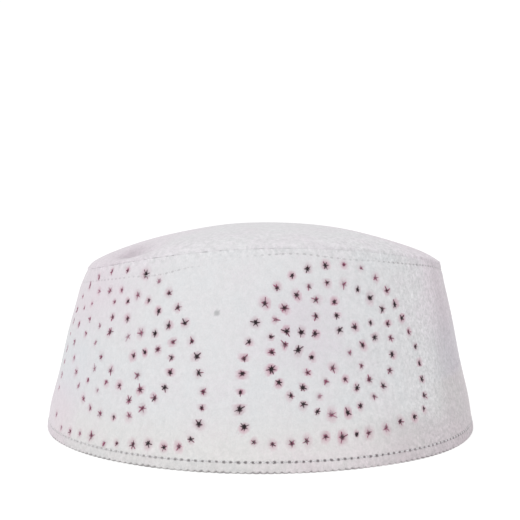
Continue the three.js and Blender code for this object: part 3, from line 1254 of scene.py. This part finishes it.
@dataclass(kw_only=True)
class SpunShell:
    """A closed piece made by spinning a profile round the upright axis and draping it on the form.

    Attributes:
        name: The object's name.
        form: The cap's form.
        steps: How many steps a full turn takes.
        closed: Whether the profile closes on itself. Otherwise it starts and ends on the axis.
        doublings: How many times the spun wedge is doubled to fill the turn. It is quicker than a full spin.
        join_distance: How near two corners lie that are one.
        inside_away: The height above a row of stitches that is given to the inner face, which has none.
    """

    name: str
    form: CapForm
    steps: int
    closed: bool = True
    doublings: int = 3
    join_distance: float = 0.002 * MM
    inside_away: float = 20 * MM

    def spin(self, profile: Points) -> Mesh:
        """Spins a profile of (radius, height) into a closed mesh.

        Args:
            profile: The profile's points, in order.

        Returns:
            The mesh, with its faces pointing out.
        """
        shape = bmesh.new()
        corners = [shape.verts.new((0.0, -radius, height)) for radius, height in profile]
        pairs = list(zip(corners, corners[1:]))
        if self.closed:
            pairs.append((corners[-1], corners[0]))
        edges = [shape.edges.new(pair) for pair in pairs]
        wedge = FULL_TURN / 2 ** self.doublings
        bmesh.ops.spin(shape, geom=corners + edges, cent=(0.0, 0.0, 0.0), axis=(0.0, 0.0, 1.0),
                       angle=wedge, steps=self.steps // 2 ** self.doublings, use_duplicate=False)
        for doubling in range(self.doublings):
            everything = list(shape.verts) + list(shape.edges) + list(shape.faces)
            copies = bmesh.ops.duplicate(shape, geom=everything)["geom"]
            turned = [item for item in copies if isinstance(item, bmesh.types.BMVert)]
            bmesh.ops.rotate(shape, verts=turned, cent=(0.0, 0.0, 0.0),
                             matrix=Matrix.Rotation(wedge * 2 ** doubling, 3, "Z"))
        close_up(shape, self.join_distance)
        mesh = mesh_of(shape, self.name)
        mesh.shade_smooth()
        return mesh

    def spin_wall(self, section: Points) -> Mesh:
        """Spins the section of a wall, given as (inward, height) from the band's outer face."""
        return self.spin([(float(self.form.half_width(h)) - inward, h) for inward, h in section])

    def round_places(self, mesh: Mesh) -> tuple[np.ndarray, np.ndarray, np.ndarray]:
        """Reads a spun mesh as radius, direction and height.

        Args:
            mesh: The spun mesh.

        Returns:
            The radii, the directions in radians, and the heights.
        """
        places = np.empty(len(mesh.vertices) * 3)
        mesh.vertices.foreach_get("co", places)
        places = places.reshape(-1, 3)
        radius = np.hypot(places[:, 0], places[:, 1])
        angle = np.arctan2(places[:, 0], -places[:, 1])
        return radius, angle, places[:, 2]

    def lay_nap_and_shade(self, mesh: Mesh, angle: np.ndarray, share: np.ndarray, shade: np.ndarray,
                pull: float | np.ndarray = 1.0, rosiness: float = 0.1,
                nearness: float | np.ndarray = 1.0) -> None:
        """Stores how the nap lies on the piece, where shade is painted on it, and its tints.

        Args:
            mesh: The spun mesh.
            angle: The direction of each vertex.
            share: Its height share.
            shade: How much darker the piece is painted on top of the patches, such as painted shade in a fold
                or a dent.
            pull: How strongly the patches of duller nap and painted shade show on the piece.
            rosiness: How rosy the piece is all over.
            nearness: How strongly the tinted patches show, which fade towards the middle of the crown.
        """
        nap_and_shade = NapLieAndShade()
        add_values(mesh, "dull_nap_and_shade", np.clip(nap_and_shade.dull_nap_and_shade(angle, share) * pull + shade, 0.0, 1.2))
        add_values(mesh, "rosiness", nap_and_shade.tint(nap_and_shade.rosy, angle, share) * nearness + rosiness)
        add_values(mesh, "warmth", nap_and_shade.tint(nap_and_shade.warm, angle, share) * nearness)
        add_values(mesh, "coolness", nap_and_shade.tint(nap_and_shade.cool, angle, share) * nearness)
        add_values(mesh, "fuzz", nap_and_shade.fuzziness(angle, share))

    def finish(self, mesh: Mesh, places: np.ndarray, material: Material,
               slot: str, node: str) -> Piece:
        """Writes the draped places, dresses the piece and sets it on the frame.

        Args:
            mesh: The spun mesh.
            places: The place of each vertex.
            material: The finish.
            slot: The record's slot; not used.
            node: The solid that the piece stands for.

        Returns:
            The finished object.
        """
        mesh.vertices.foreach_set("co", places.astype(np.float32).ravel())
        mesh.update()
        mesh.materials.append(material)
        piece = put_in_scene(self.name, mesh)
        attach(piece, BODY)
        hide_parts(node)
        LOG.info("%s: %d faces", self.name, len(mesh.polygons))
        return piece


def add_values(mesh: Mesh, name: str, values: np.ndarray) -> None:
    """Stores one number, or a vector of two, on each vertex of a mesh."""
    if values.ndim == 1:
        layer = mesh.attributes.new(name, "FLOAT", "POINT")
        layer.data.foreach_set("value", values.astype(np.float32))
    else:
        layer = mesh.attributes.new(name, "FLOAT_VECTOR", "POINT")
        padded = np.zeros((len(values), 3), dtype=np.float32)
        padded[:, :2] = values
        layer.data.foreach_set("vector", padded.ravel())


def add_stitch_map(mesh: Mesh, angle: np.ndarray, away: np.ndarray, line: StitchLine) -> None:
    """Adds a UV map that counts a row's stitches along it and measures millimetres away from it.

    Args:
        mesh: The mesh.
        angle: The direction of each vertex.
        away: The height of each vertex above the row, in metres.
        line: The row.
    """
    corners = np.empty(len(mesh.loops), dtype=np.int64)
    mesh.loops.foreach_get("vertex_index", corners)
    starts = np.empty(len(mesh.polygons), dtype=np.int64)
    totals = np.empty(len(mesh.polygons), dtype=np.int64)
    mesh.polygons.foreach_get("loop_start", starts)
    mesh.polygons.foreach_get("loop_total", totals)
    along = angle[corners] / line.step()
    first = np.repeat(along[starts], totals)
    along = along - np.round((along - first) / line.count) * line.count
    layer = mesh.uv_layers.new(name=line.name)
    layer.data.foreach_set("uv", np.stack([along, away[corners] / MM], axis=-1).astype(np.float32).ravel())


@dataclass(kw_only=True)
class Band(SpunShell):
    """The tapered side wall, with the marks of its stars and of the seam's topstitching."""

    name: str = "band_cloth"
    steps: int = 800
    cloth: float = 2.2 * MM
    foot: float = 3.42 * MM
    foot_radius: float = 0.14 * MM
    fold_radius: float = 0.1 * MM
    rows: int = 84
    outer_share: float = 0.6
    # How strongly shade is painted along the faint fold of the +X side.
    fold_painted_shade: float = 0.2
    spot_middle: float = 0.6
    # Direction, height share, radius and strength. The program for the stars' places gave the first two.
    spots: tuple[tuple[float, float, float, float], ...] = (
        (math.radians(-10.8), 0.713, 1.05 * MM, 0.95),
        (math.radians(-3.0), 0.801, 0.42 * MM, 0.45),
    )

    def profile(self) -> Points:
        """Lists the wall's section as (inward, height)."""
        fold = self.fold_radius
        top = self.form.seam_height - fold
        low = self.foot + self.foot_radius
        points = arc_points((self.foot_radius, low), self.foot_radius, 270, 180, 3)
        points += run_points((0.0, low), (0.0, top), self.rows)
        points += arc_points((fold, top), fold, 180, 90, 5)
        points += arc_points((self.cloth - fold, top), fold, 90, 0, 3)
        points += run_points((self.cloth, top), (self.cloth, self.foot), 12)
        points.append((self.cloth, self.foot))
        return points

    def build(self, relief: BandRelief) -> Piece:
        """Builds the band.

        Args:
            relief: The relief of its outer face.

        Returns:
            The finished band.
        """
        mesh = self.spin_wall(self.profile())
        radius, angle, height = self.round_places(mesh)
        inward = self.form.half_width(height) - radius
        outer = 1.0 - smooth_step(inward / (self.outer_share * self.cloth))
        share = height / self.form.seam_height
        radius = radius - relief.depth(angle, height) * outer
        offsets, strength, far = relief.star_offsets(angle, share)
        far = np.where(outer > 0.5, far, 1.0)
        add_values(mesh, "star_offset", offsets)
        add_values(mesh, "star_far", far)
        add_values(mesh, "star_strength", strength * (outer > 0.5))
        add_values(mesh, "smudge", self.smudges(relief, angle, share, outer))
        for line in (SEAM_LINE, HEM_LINE):
            away = height - line.share_at(angle) * self.form.seam_height
            add_stitch_map(mesh, angle, np.where(outer > 0.5, away, self.inside_away), line)
            add_values(mesh, line.name + "_shade", line.shade.at(angle))
        # Painted shade along the faint fold, besides the patches of duller nap and painted shade.
        self.lay_nap_and_shade(mesh, angle, share, self.fold_painted_shade * relief.folded(angle, share) * outer)
        finish = NappedCloth(Cloth.BAND, starred=True, rows=(SEAM_HOLES, HEM_HOLES))
        places = self.form.drape(radius, angle, height)
        return self.finish(mesh, places, finish.make(), Cloth.BAND.value, "band")

    def smudges(self, relief: BandRelief, angle: np.ndarray, share: np.ndarray,
                outer: np.ndarray) -> np.ndarray:
        """Gives the strength of the small grey smudges at each point.

        Args:
            relief: The relief of the band's outer face.
            angle: The direction of each point.
            share: Its height share.
            outer: Whether it is on the outer face, from 0 to 1.

        Returns:
            The strengths, from 0 to 1.
        """
        total = np.zeros(len(angle))
        for at, height_share, radius, strength in self.spots:
            around = turn_between(angle, at) * relief.arc_scale(share)
            up = (share - height_share) * self.form.seam_height
            distance = np.hypot(around, up) / radius
            total += strength * (1.0 - smooth_step((distance - self.spot_middle) / self.spot_middle))
        return np.clip(total, 0.0, 1.0) * outer


@dataclass(kw_only=True)
class Crown(SpunShell):
    """The domed top. Its lip lies on the band's top edge and its allowance is turned down inside."""

    name: str = "crown_cloth"
    steps: int = 400
    closed: bool = False
    cloth: float = 1.8 * MM
    allowance: float = 6.0 * MM
    lip_inset: float = 0.05 * MM
    lip_gap: float = 0.01 * MM
    lip_play: float = 0.17 * MM
    lip_press: float = 0.1 * MM
    lip_top: float = 0.9 * MM
    lip_width: float = 1.9 * MM
    lip_rounding: float = 0.07 * MM
    lip_waves: tuple[tuple[int, float], ...] = (
        (23, 0.4), (47, 1.9), (79, 4.1), (98, 2.2), (163, 0.9), (211, 3.3),
    )
    underside_from: float = 0.1 * MM
    rows: int = 56
    inside_rows: int = 24
    level_play: float = 0.02 * MM
    broad_waves: float = 0.3 * MM
    fine_waves: float = 0.2 * MM
    nap_share: float = 0.98
    dull_and_shade_pull: float = 0.14
    nap_rosiness: float = 0.4
    # Where and how strongly shade is painted in the first dent, a hollow.
    dent_shade_turn: float = math.radians(4.5)
    dent_shade_share: float = 0.915
    dent_shades: tuple[tuple[float, float, float], ...] = ((0.84, 0.58, 1.1), (0.2, 1.9, 1.8))
    tight_share: float = 0.1
    loose_until: float = math.radians(14)
    loose_over: float = math.radians(16)
    play_level: float = 0.3
    play_swing: float = 0.42
    play_most: float = 1.2
    dents: tuple[SoftDent, ...] = (
        SoftDent(math.radians(-41), 0.93, 4.3 * MM, 9.8 * MM, 4.5 * MM),
        SoftDent(math.radians(-112), 0.62, 1.1 * MM, 23 * MM, 15 * MM),
        SoftDent(math.radians(152), 0.55, 0.9 * MM, 26 * MM, 17 * MM),
    )

    def edge_radius(self) -> float:
        """Gives the radius of the lip's edge."""
        return self.form.seam_half_width - self.lip_inset

    def levels(self) -> tuple[float, float]:
        """Gives the heights that the roof's outer and inner face are spun at."""
        top = self.form.seam_height + self.lip_top
        return top, top - self.cloth

    def profile(self) -> Points:
        """Lists the section as (radius, height), from the top's middle out, down, in and back under."""
        seam = self.form.seam_height
        outer_level, inner_level = self.levels()
        edge = self.edge_radius()
        tucked = float(self.form.half_width(np.array([seam]))[0]) - self.form.crown_inset
        foot = float(self.form.half_width(np.array([seam - self.allowance]))[0]) - self.form.crown_inset
        points = []
        for index in range(self.rows):
            points.append((edge * math.sin(index / self.rows * math.pi / 2), outer_level))
        underside = seam + self.lip_gap
        rounding = self.lip_rounding
        points += [(edge, outer_level), (edge, underside + rounding)]
        points += [(edge - 0.3 * rounding, underside + 0.3 * rounding), (edge - rounding, underside)]
        points += [(tucked, underside)]
        points += run_points((tucked, underside), (foot, seam - self.allowance), 7)
        points += [(foot, seam - self.allowance), (foot - self.cloth, seam - self.allowance)]
        inside = tucked - self.cloth
        points += [(foot - self.cloth * 0.98, seam - 0.5 * self.allowance)]
        for index in range(self.inside_rows):
            points.append((inside * math.cos(index / self.inside_rows * math.pi / 2), inner_level))
        points.append((0.0, inner_level))
        return points

    def lifted(self, radius: np.ndarray, angle: np.ndarray, height: np.ndarray) -> np.ndarray:
        """Gives how far the roof's points stand above the level that they are spun at."""
        outer_level, inner_level = self.levels()
        roof = np.abs(height - outer_level) < self.level_play
        roof = roof | (np.abs(height - inner_level) < self.level_play)
        reach = np.clip(radius / self.edge_radius(), 0.0, 1.0)
        hollow = np.zeros(len(radius))
        for dent in self.dents:
            around = np.abs(turn_between(angle, dent.angle)) * radius
            inward = (reach - dent.share) * self.edge_radius()
            hollow += dent.depth * bell(around, dent.spread_around) * bell(inward, dent.spread_up)
        waves = self.broad_waves * np.sin(3 * angle + 0.7) * np.sin(5.1 * reach + 0.4)
        waves += self.fine_waves * np.sin(7 * angle + 2.1) * np.sin(9.3 * reach * reach)
        return np.where(roof, self.form.roof(reach, angle, hollow + waves * reach), 0.0)

    def painted_dent_shade(self, radius: np.ndarray, angle: np.ndarray) -> np.ndarray:
        """Gives how much shade is painted in the first dent, a hollow."""
        dent = self.dents[0]
        around = np.abs(turn_between(angle, dent.angle - self.dent_shade_turn)) * radius
        inward = radius - self.dent_shade_share * self.edge_radius()
        shade = np.zeros(len(radius))
        for strength, wide, tall in self.dent_shades:
            shade += strength * bell(around, wide * dent.spread_around) * bell(inward, tall * dent.spread_up)
        return shade

    def loose_lip(self, radius: np.ndarray, angle: np.ndarray, height: np.ndarray) -> np.ndarray:
        """Gives how far the lip's underside stands off the band, which changes from stitch to stitch."""
        low = height < self.levels()[0] - self.underside_from
        under = low & (radius > self.edge_radius() - self.lip_width)
        play = np.zeros(len(angle))
        for turns, phase in self.lip_waves:
            play += np.sin(turns * angle + phase)
        freed = smooth_step((self.loose_until - angle) / self.loose_over)
        loose = self.tight_share + (1.0 - self.tight_share) * freed
        swing = np.clip(self.play_level + self.play_swing * play, 0.0, self.play_most)
        stand_off = self.lip_play * loose * swing - self.lip_press
        return np.where(under, stand_off, 0.0)

    def build(self) -> Piece:
        """Builds the crown.

        Returns:
            The finished crown.
        """
        mesh = self.spin(self.profile())
        radius, angle, height = self.round_places(mesh)
        places = self.form.drape(radius, angle, height)
        places[:, 2] += self.lifted(radius, angle, height) + self.loose_lip(radius, angle, height)
        share = np.full(len(angle), self.nap_share)
        nearness = smooth_step(radius / self.form.seam_half_width)
        # Painted shade in the first dent, besides the patches of duller nap and painted shade, which fade
        # towards the middle.
        self.lay_nap_and_shade(mesh, angle, share, self.painted_dent_shade(radius, angle), self.dull_and_shade_pull * nearness,
                     self.nap_rosiness, nearness)
        finish = NappedCloth(Cloth.CROWN)
        return self.finish(mesh, places, finish.make(), Cloth.CROWN.value, "crown")


@dataclass(kw_only=True)
class BottomHem(SpunShell):
    """The turned-up hem: a rolled lip, puckered between its stitches, and the leg inside the band."""

    name: str = "hem_cloth"
    steps: int = HEM_LINE.count * 6
    lip: float = 3.38 * MM
    lip_radius: float = 0.7 * MM
    lip_top_radius: float = 0.14 * MM
    leg_from: float = 2.5 * MM
    leg_cloth: float = 1.2 * MM
    turn_up: float = 12.0 * MM
    leg_corner: float = 0.3 * MM
    pucker: float = 0.17 * MM
    pinch: float = 0.2 * MM
    pinch_reach: float = 0.9 * MM
    puff: float = 0.22 * MM
    rib: float = 0.05 * MM
    rib_turns: float = 613.0
    hitch: float = 0.25 * MM
    hitch_reach: float = 0.8 * MM
    inside_height: float = 9.0
    # How much darker the hem's outer face is painted all over.
    dull_nap_and_shade: float = 0.2

    def profile(self) -> Points:
        """Lists the hem's section as (inward, height)."""
        corner = self.lip_radius
        upper = self.lip_top_radius
        inside = self.leg_from + self.leg_cloth
        points = arc_points((corner, corner), corner, 270, 180, 6)
        points += run_points((0.0, corner), (0.0, self.lip - upper), 7)
        points += arc_points((upper, self.lip - upper), upper, 180, 90, 4)
        points += [(self.leg_from, self.lip), (self.leg_from, self.turn_up)]
        points += [(inside, self.turn_up)]
        points += run_points((inside, self.turn_up), (inside, self.leg_corner), 6)
        points += [(inside, self.leg_corner), (inside - self.leg_corner, 0.0)]
        return points

    def build(self) -> Piece:
        """Builds the hem.

        Returns:
            The finished hem.
        """
        mesh = self.spin_wall(self.profile())
        radius, angle, height = self.round_places(mesh)
        inward = self.form.half_width(height) - radius
        outer = 1.0 - smooth_step(inward / (2.0 * self.lip_radius))
        # The height that the painted rim shadow fades by.
        add_values(mesh, "edge_height", np.where(outer > 0.05, height / MM, self.inside_height))
        stitch = angle / HEM_LINE.step()
        at_hole = np.cos(FULL_TURN * stitch) * 0.5 + 0.5
        puffed = self.puff * np.sin(math.pi * np.clip(height / self.lip, 0.0, 1.0))
        ribs = self.pucker * (at_hole - 0.5) + self.rib * np.sin(angle * self.rib_turns)
        pinched = self.pinch * at_hole ** 3 * bell(height, self.pinch_reach)
        radius = radius + (puffed - ribs - pinched) * outer
        height = height + self.hitch * at_hole ** 3 * bell(height, self.hitch_reach) * outer
        away = height - HEM_LINE.share_at(angle) * self.form.seam_height
        add_stitch_map(mesh, angle, np.where(outer > 0.2, away, self.inside_away), HEM_LINE)
        add_values(mesh, HEM_LINE.name + "_shade", HEM_LINE.shade.at(angle))
        self.lay_nap_and_shade(mesh, angle, height / self.form.seam_height, self.dull_nap_and_shade * outer)
        # Painted shadow along the hem's lower edge.
        finish = NappedCloth(Cloth.HEM, rows=(HEM_HOLES,), shadowed_rim=True)
        places = self.form.drape(radius, angle, height)
        return self.finish(mesh, places, finish.make(), Cloth.HEM.value, "bottom_hem")


@dataclass(frozen=True)
class ArchedStitch:
    """One stitch of thread: a round section swept over a low arch whose ends go into the cloth.

    Attributes:
        length: The distance between its two ends.
        rise: How far the arch stands above its ends.
        thickness: The thread's radius.
        sides: How many sides the section has.
        segments: How many segments the arch has.
    """

    length: float
    rise: float
    thickness: float
    sides: int = 6
    segments: int = 5

    def template(self) -> Mesh:
        """Makes the stitch along +X from the origin, arched towards +Z, as a closed mesh."""
        half = self.length / 2
        bend = (half * half + self.rise * self.rise) / (2 * self.rise)
        swing = math.asin(min(1.0, half / bend))
        shape = bmesh.new()
        ring = bmesh.ops.create_circle(shape, cap_ends=True, cap_tris=False, segments=self.sides,
                                       radius=self.thickness)
        upright = Matrix.Rotation(math.pi / 2, 3, "Y")
        bmesh.ops.rotate(shape, verts=ring["verts"], cent=(0, 0, 0), matrix=upright)
        bmesh.ops.translate(shape, verts=ring["verts"], vec=(half, 0.0, self.rise))
        centre = Vector((half, 0.0, self.rise - bend))
        bmesh.ops.rotate(shape, verts=shape.verts, cent=centre, matrix=Matrix.Rotation(-swing, 3, "Y"))
        bmesh.ops.spin(shape, geom=list(shape.faces), cent=centre, axis=(0.0, 1.0, 0.0),
                       angle=2 * swing, steps=self.segments, use_duplicate=False)
        close_up(shape, 0.001 * MM)
        return mesh_of(shape, "stitch_template")


@dataclass
class StitchCluster:
    """Many stitches joined in one mesh, each a placed copy of one template."""

    name: str
    template: Mesh
    shape: bmesh.types.BMesh = field(default_factory=bmesh.new)
    strengths: list[float] = field(default_factory=list)

    def __post_init__(self) -> None:
        """Remembers the template's own places."""
        self.rest = np.empty(len(self.template.vertices) * 3, dtype=np.float32)
        self.template.vertices.foreach_get("co", self.rest)

    def add(self, place: Matrix, strength: float) -> None:
        """Adds a stitch.

        Args:
            place: Where it goes.
            strength: The strength of its colour.
        """
        self.template.transform(place)
        self.shape.from_mesh(self.template)
        self.template.vertices.foreach_set("co", self.rest)
        self.strengths.append(strength)

    def finish(self, material: Material) -> Piece:
        """Joins the stitches, dresses them and sets them on the frame.

        Args:
            material: The thread's finish.

        Returns:
            The finished object.
        """
        mesh = mesh_of(self.shape, self.name)
        values = np.repeat(np.array(self.strengths), len(self.rest) // 3)
        add_values(mesh, "strength", values)
        along = self.rest[0::3]
        add_values(mesh, "reach", np.tile(along / along.max(), len(self.strengths)))
        mesh.shade_smooth()
        mesh.materials.append(material)
        piece = put_in_scene(self.name, mesh)
        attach(piece, BODY)
        LOG.info("%s: %d stitches, %d faces", self.name, len(self.strengths), len(mesh.polygons))
        return piece


@dataclass
class Embroiderer:
    """Places stitches on the band's outer face and on the hem."""

    form: CapForm
    relief: BandRelief
    seed: int = 23
    nudge: float = 0.004
    star_sunk: float = 0.08 * MM
    ray_counts: tuple[int, ...] = (5, 5, 6, 6, 7)
    ray_turn_spread: float = 0.1
    ray_start: tuple[float, float] = (0.02, 0.16)
    ray_climb: float = 0.16
    ray_length_spread: float = 0.26
    ray_length_range: tuple[float, float] = (0.45, 1.5)
    ray_girth_spread: float = 0.2
    ray_girth_range: tuple[float, float] = (0.65, 1.4)
    ray_strength_spread: float = 0.12
    row_length_range: tuple[float, float] = (0.96, 1.04)

    def on_face(self, angle: float, share: float, inward: float = 0.0) -> Vector:
        """Gives the place on the outer face at a direction and height share.

        Args:
            angle: The direction in radians.
            share: The height share.
            inward: How far inside the face.

        Returns:
            The place.
        """
        height = np.array([share * self.form.seam_height])
        radius = self.form.half_width(height) - inward
        return Vector(self.form.drape(radius, np.array([angle]), height)[0])

    def axes_at(self, angle: float, share: float) -> tuple[Vector, Vector, Vector]:
        """Gives the directions along, up and out of the outer face."""
        along = self.on_face(angle + self.nudge, share) - self.on_face(angle - self.nudge, share)
        up = self.on_face(angle, share + self.nudge) - self.on_face(angle, share - self.nudge)
        out = along.cross(up).normalized()
        along = along.normalized()
        return along, out.cross(along), out

    def placed(self, origin: Vector, direction: Vector, out: Vector, stretch: float, girth: float) -> Matrix:
        """Gives the matrix that lays a stitch from an origin along a direction.

        Args:
            origin: Where the stitch starts.
            direction: The way that it goes, at unit length.
            out: The way out of the cloth.
            stretch: Its length against the template's.
            girth: Its thickness against the template's.

        Returns:
            The matrix.
        """
        side = out.cross(direction)
        matrix = Matrix((direction * stretch, side * girth, out * girth)).transposed().to_4x4()
        matrix.translation = origin
        return matrix

    def star_cluster(self, name: str, stars: list[Star], material: Material) -> Piece:
        """Stitches one motif's stars.

        Args:
            name: The piece's name.
            stars: The stars.
            material: The thread's finish.

        Returns:
            The motif's stitches as one piece.
        """
        rng = np.random.default_rng(self.seed)
        template = ArchedStitch(length=1.2 * MM, rise=0.22 * MM, thickness=0.14 * MM, sides=5, segments=4)
        cluster = StitchCluster(name, template.template())
        for star in stars:
            along, up, out = self.axes_at(star.angle, star.share)
            height = np.array([star.share * self.form.seam_height])
            depth = float(self.relief.depth(np.array([star.angle]), height)[0])
            origin = self.on_face(star.angle, star.share) - out * (depth - self.star_sunk)
            rays = int(rng.choice(self.ray_counts))
            first = rng.uniform(0.0, FULL_TURN)
            for ray in range(rays):
                turn = first + FULL_TURN * (ray + rng.normal(0.0, self.ray_turn_spread)) / rays
                direction = along * math.cos(turn) + up * math.sin(turn)
                start = origin + direction * rng.uniform(*self.ray_start) * MM
                direction = (direction + out * self.ray_climb).normalized()
                length = rng.normal(1.0, self.ray_length_spread)
                stretch = star.size * float(np.clip(length, *self.ray_length_range))
                girth = float(np.clip(rng.normal(1.0, self.ray_girth_spread), *self.ray_girth_range))
                side_out = (out - direction * out.dot(direction)).normalized()
                strength = star.strength + rng.normal(0.0, self.ray_strength_spread)
                strength = float(np.clip(strength, 0.0, 1.0))
                cluster.add(self.placed(start, direction, side_out, stretch, girth), strength)
        return cluster.finish(material)

    def topstitching(self, line: StitchLine, sunk: float, thickness: float, cover: float,
                     material: Material) -> Piece:
        """Sews a row of topstitching.

        Args:
            line: The row.
            sunk: How far inside the plain face its stitches' ends lie.
            thickness: The thread's radius.
            cover: The share of the way from one hole to the next that the thread covers.
            material: The thread's finish.

        Returns:
            The row as one piece.
        """
        rng = np.random.default_rng(self.seed + line.count)
        first = self.on_face(0.0, float(line.share_at(np.array([0.0]))[0]))
        second = self.on_face(line.step(), float(line.share_at(np.array([line.step()]))[0]))
        length = (second - first).length
        template = ArchedStitch(length=length, rise=0.34 * MM, thickness=thickness, sides=6, segments=6)
        cluster = StitchCluster(line.name, template.template())
        for index in range(line.count):
            ends = []
            for angle in (index * line.step(), (index + 1) * line.step()):
                share = float(line.share_at(np.array([angle]))[0])
                ends.append((angle, self.on_face(angle, share, sunk)))
            middle = (ends[0][0] + ends[1][0]) / 2
            run = ends[1][1] - ends[0][1]
            _, _, out = self.axes_at(middle, float(line.share_at(np.array([middle]))[0]))
            direction = run.normalized()
            out = (out - direction * out.dot(direction)).normalized()
            stretch = run.length / length * cover * float(rng.uniform(*self.row_length_range))
            start = ends[0][1] + run * (1.0 - cover) / 2
            cluster.add(self.placed(start, direction, out, stretch, 1.0), 0.5)
        return cluster.finish(material)


@dataclass(frozen=True)
class Studio:
    """A plain pale floor that curves up all round, soft light from all sides and a mild key light.

    The camera's sizes are in pixels of a square picture.
    """

    picture: float = 520.0
    focal_pixels: float = 882.0
    camera_distance: float = 0.38
    camera_height: float = 0.0765
    camera_dip: float = math.radians(1.45)
    floor_radius: float = 1.6
    wall_radius: float = 0.9
    floor_steps: int = 96
    rise_steps: int = 12
    white: tuple[float, float, float, float] = (1.0, 1.0, 1.0, 1.0)
    floor_white: Colour = (0.36, 0.36, 0.36)
    floor_roughness: float = 0.9
    floor_glow: float = 0.68
    air_strength: float = 0.85
    key_size: float = 0.7
    key_power: float = 9.0
    key_place: tuple[float, float, float] = (-0.35, -0.95, 1.2)
    key_target: tuple[float, float, float] = (0.0, 0.0, 0.04)
    sensor_width: float = 36.0

    def build(self) -> None:
        """Sets up the floor, the lights and the camera."""
        self.lay_floor()
        self.hang_lights()
        self.set_camera()

    def lay_floor(self) -> None:
        """Spins the floor and its raised edge."""
        shape = bmesh.new()
        corners = [shape.verts.new((0.0, 0.0, 0.0)), shape.verts.new((self.floor_radius, 0.0, 0.0))]
        for index in range(1, self.rise_steps + 1):
            turn = math.radians(90 * index / self.rise_steps)
            reach = self.floor_radius + self.wall_radius * math.sin(turn)
            corners.append(shape.verts.new((reach, 0.0, self.wall_radius * (1 - math.cos(turn)))))
        edges = [shape.edges.new(pair) for pair in zip(corners, corners[1:])]
        bmesh.ops.spin(shape, geom=corners + edges, cent=(0, 0, 0), axis=(0, 0, 1), angle=FULL_TURN,
                       steps=self.floor_steps, use_merge=True, use_duplicate=False)
        close_up(shape, 0.1 * MM)
        mesh = mesh_of(shape, "studio_floor")
        mesh.shade_smooth()
        material = bpy.data.materials.new("studio_floor_paint")
        material.use_nodes = True
        shader = material.node_tree.nodes["Principled BSDF"]
        shader.inputs["Base Color"].default_value = (*self.floor_white, 1.0)
        shader.inputs["Roughness"].default_value = self.floor_roughness
        shader.inputs["Emission Color"].default_value = self.white
        shader.inputs["Emission Strength"].default_value = self.floor_glow
        mesh.materials.append(material)
        floor = put_in_scene("studio_floor", mesh)

    def hang_lights(self) -> None:
        """Hangs the soft light of the room and a broad key light from the upper left of the front."""
        world = bpy.data.worlds.new("studio_air")
        world.use_nodes = True
        background = world.node_tree.nodes["Background"]
        background.inputs["Color"].default_value = self.white
        background.inputs["Strength"].default_value = self.air_strength
        bpy.context.scene.world = world
        light = bpy.data.lights.new("key_light", "AREA")
        light.shape = "DISK"
        light.size = self.key_size
        light.energy = self.key_power
        key = put_in_scene("key_light", light)
        key.location = self.key_place
        aim = Vector(self.key_target) - Vector(key.location)
        key.rotation_euler = aim.to_track_quat("-Z", "Y").to_euler()

    def set_camera(self) -> None:
        """Sets the camera at the photograph's height, distance and angle."""
        lens = bpy.data.cameras.new("camera")
        lens.sensor_width = self.sensor_width
        lens.lens = self.focal_pixels / self.picture * lens.sensor_width
        lens.clip_start = 0.01
        camera = put_in_scene("camera", lens)
        camera.location = (0.0, -self.camera_distance, self.camera_height)
        camera.rotation_euler = (math.pi / 2 - self.camera_dip, 0.0, 0.0)
        bpy.context.scene.camera = camera
        bpy.context.scene.view_settings.view_transform = "Standard"


def main() -> None:
    """Builds the studio and the cap, piece by piece."""
    logging.basicConfig(level=logging.INFO, format="%(name)s: %(message)s")
    Studio().build()
    form = CapForm.from_frame()
    stars = StarField()
    stars.set_out()
    relief = BandRelief(form, stars)
    Band(form=form).build(relief)
    Crown(form=form).build()
    BottomHem(form=form).build()
    maroon = Thread("star_thread", deep=(0.01, 0.003, 0.006), light=(0.3, 0.07, 0.14), by_star=True).make()
    white = Thread("sewing_thread", deep=(0.5, 0.49, 0.5), light=(0.6, 0.59, 0.6)).make()
    embroiderer = Embroiderer(form, relief)
    for name, members in stars.motifs.items():
        embroiderer.star_cluster(name, members, maroon)
    embroiderer.topstitching(HEM_LINE, sunk=0.25 * MM, thickness=0.2 * MM, cover=0.66, material=white)
    embroiderer.topstitching(SEAM_LINE, sunk=0.52 * MM, thickness=0.16 * MM, cover=0.9, material=white)


if __name__ == "__main__":
    main()
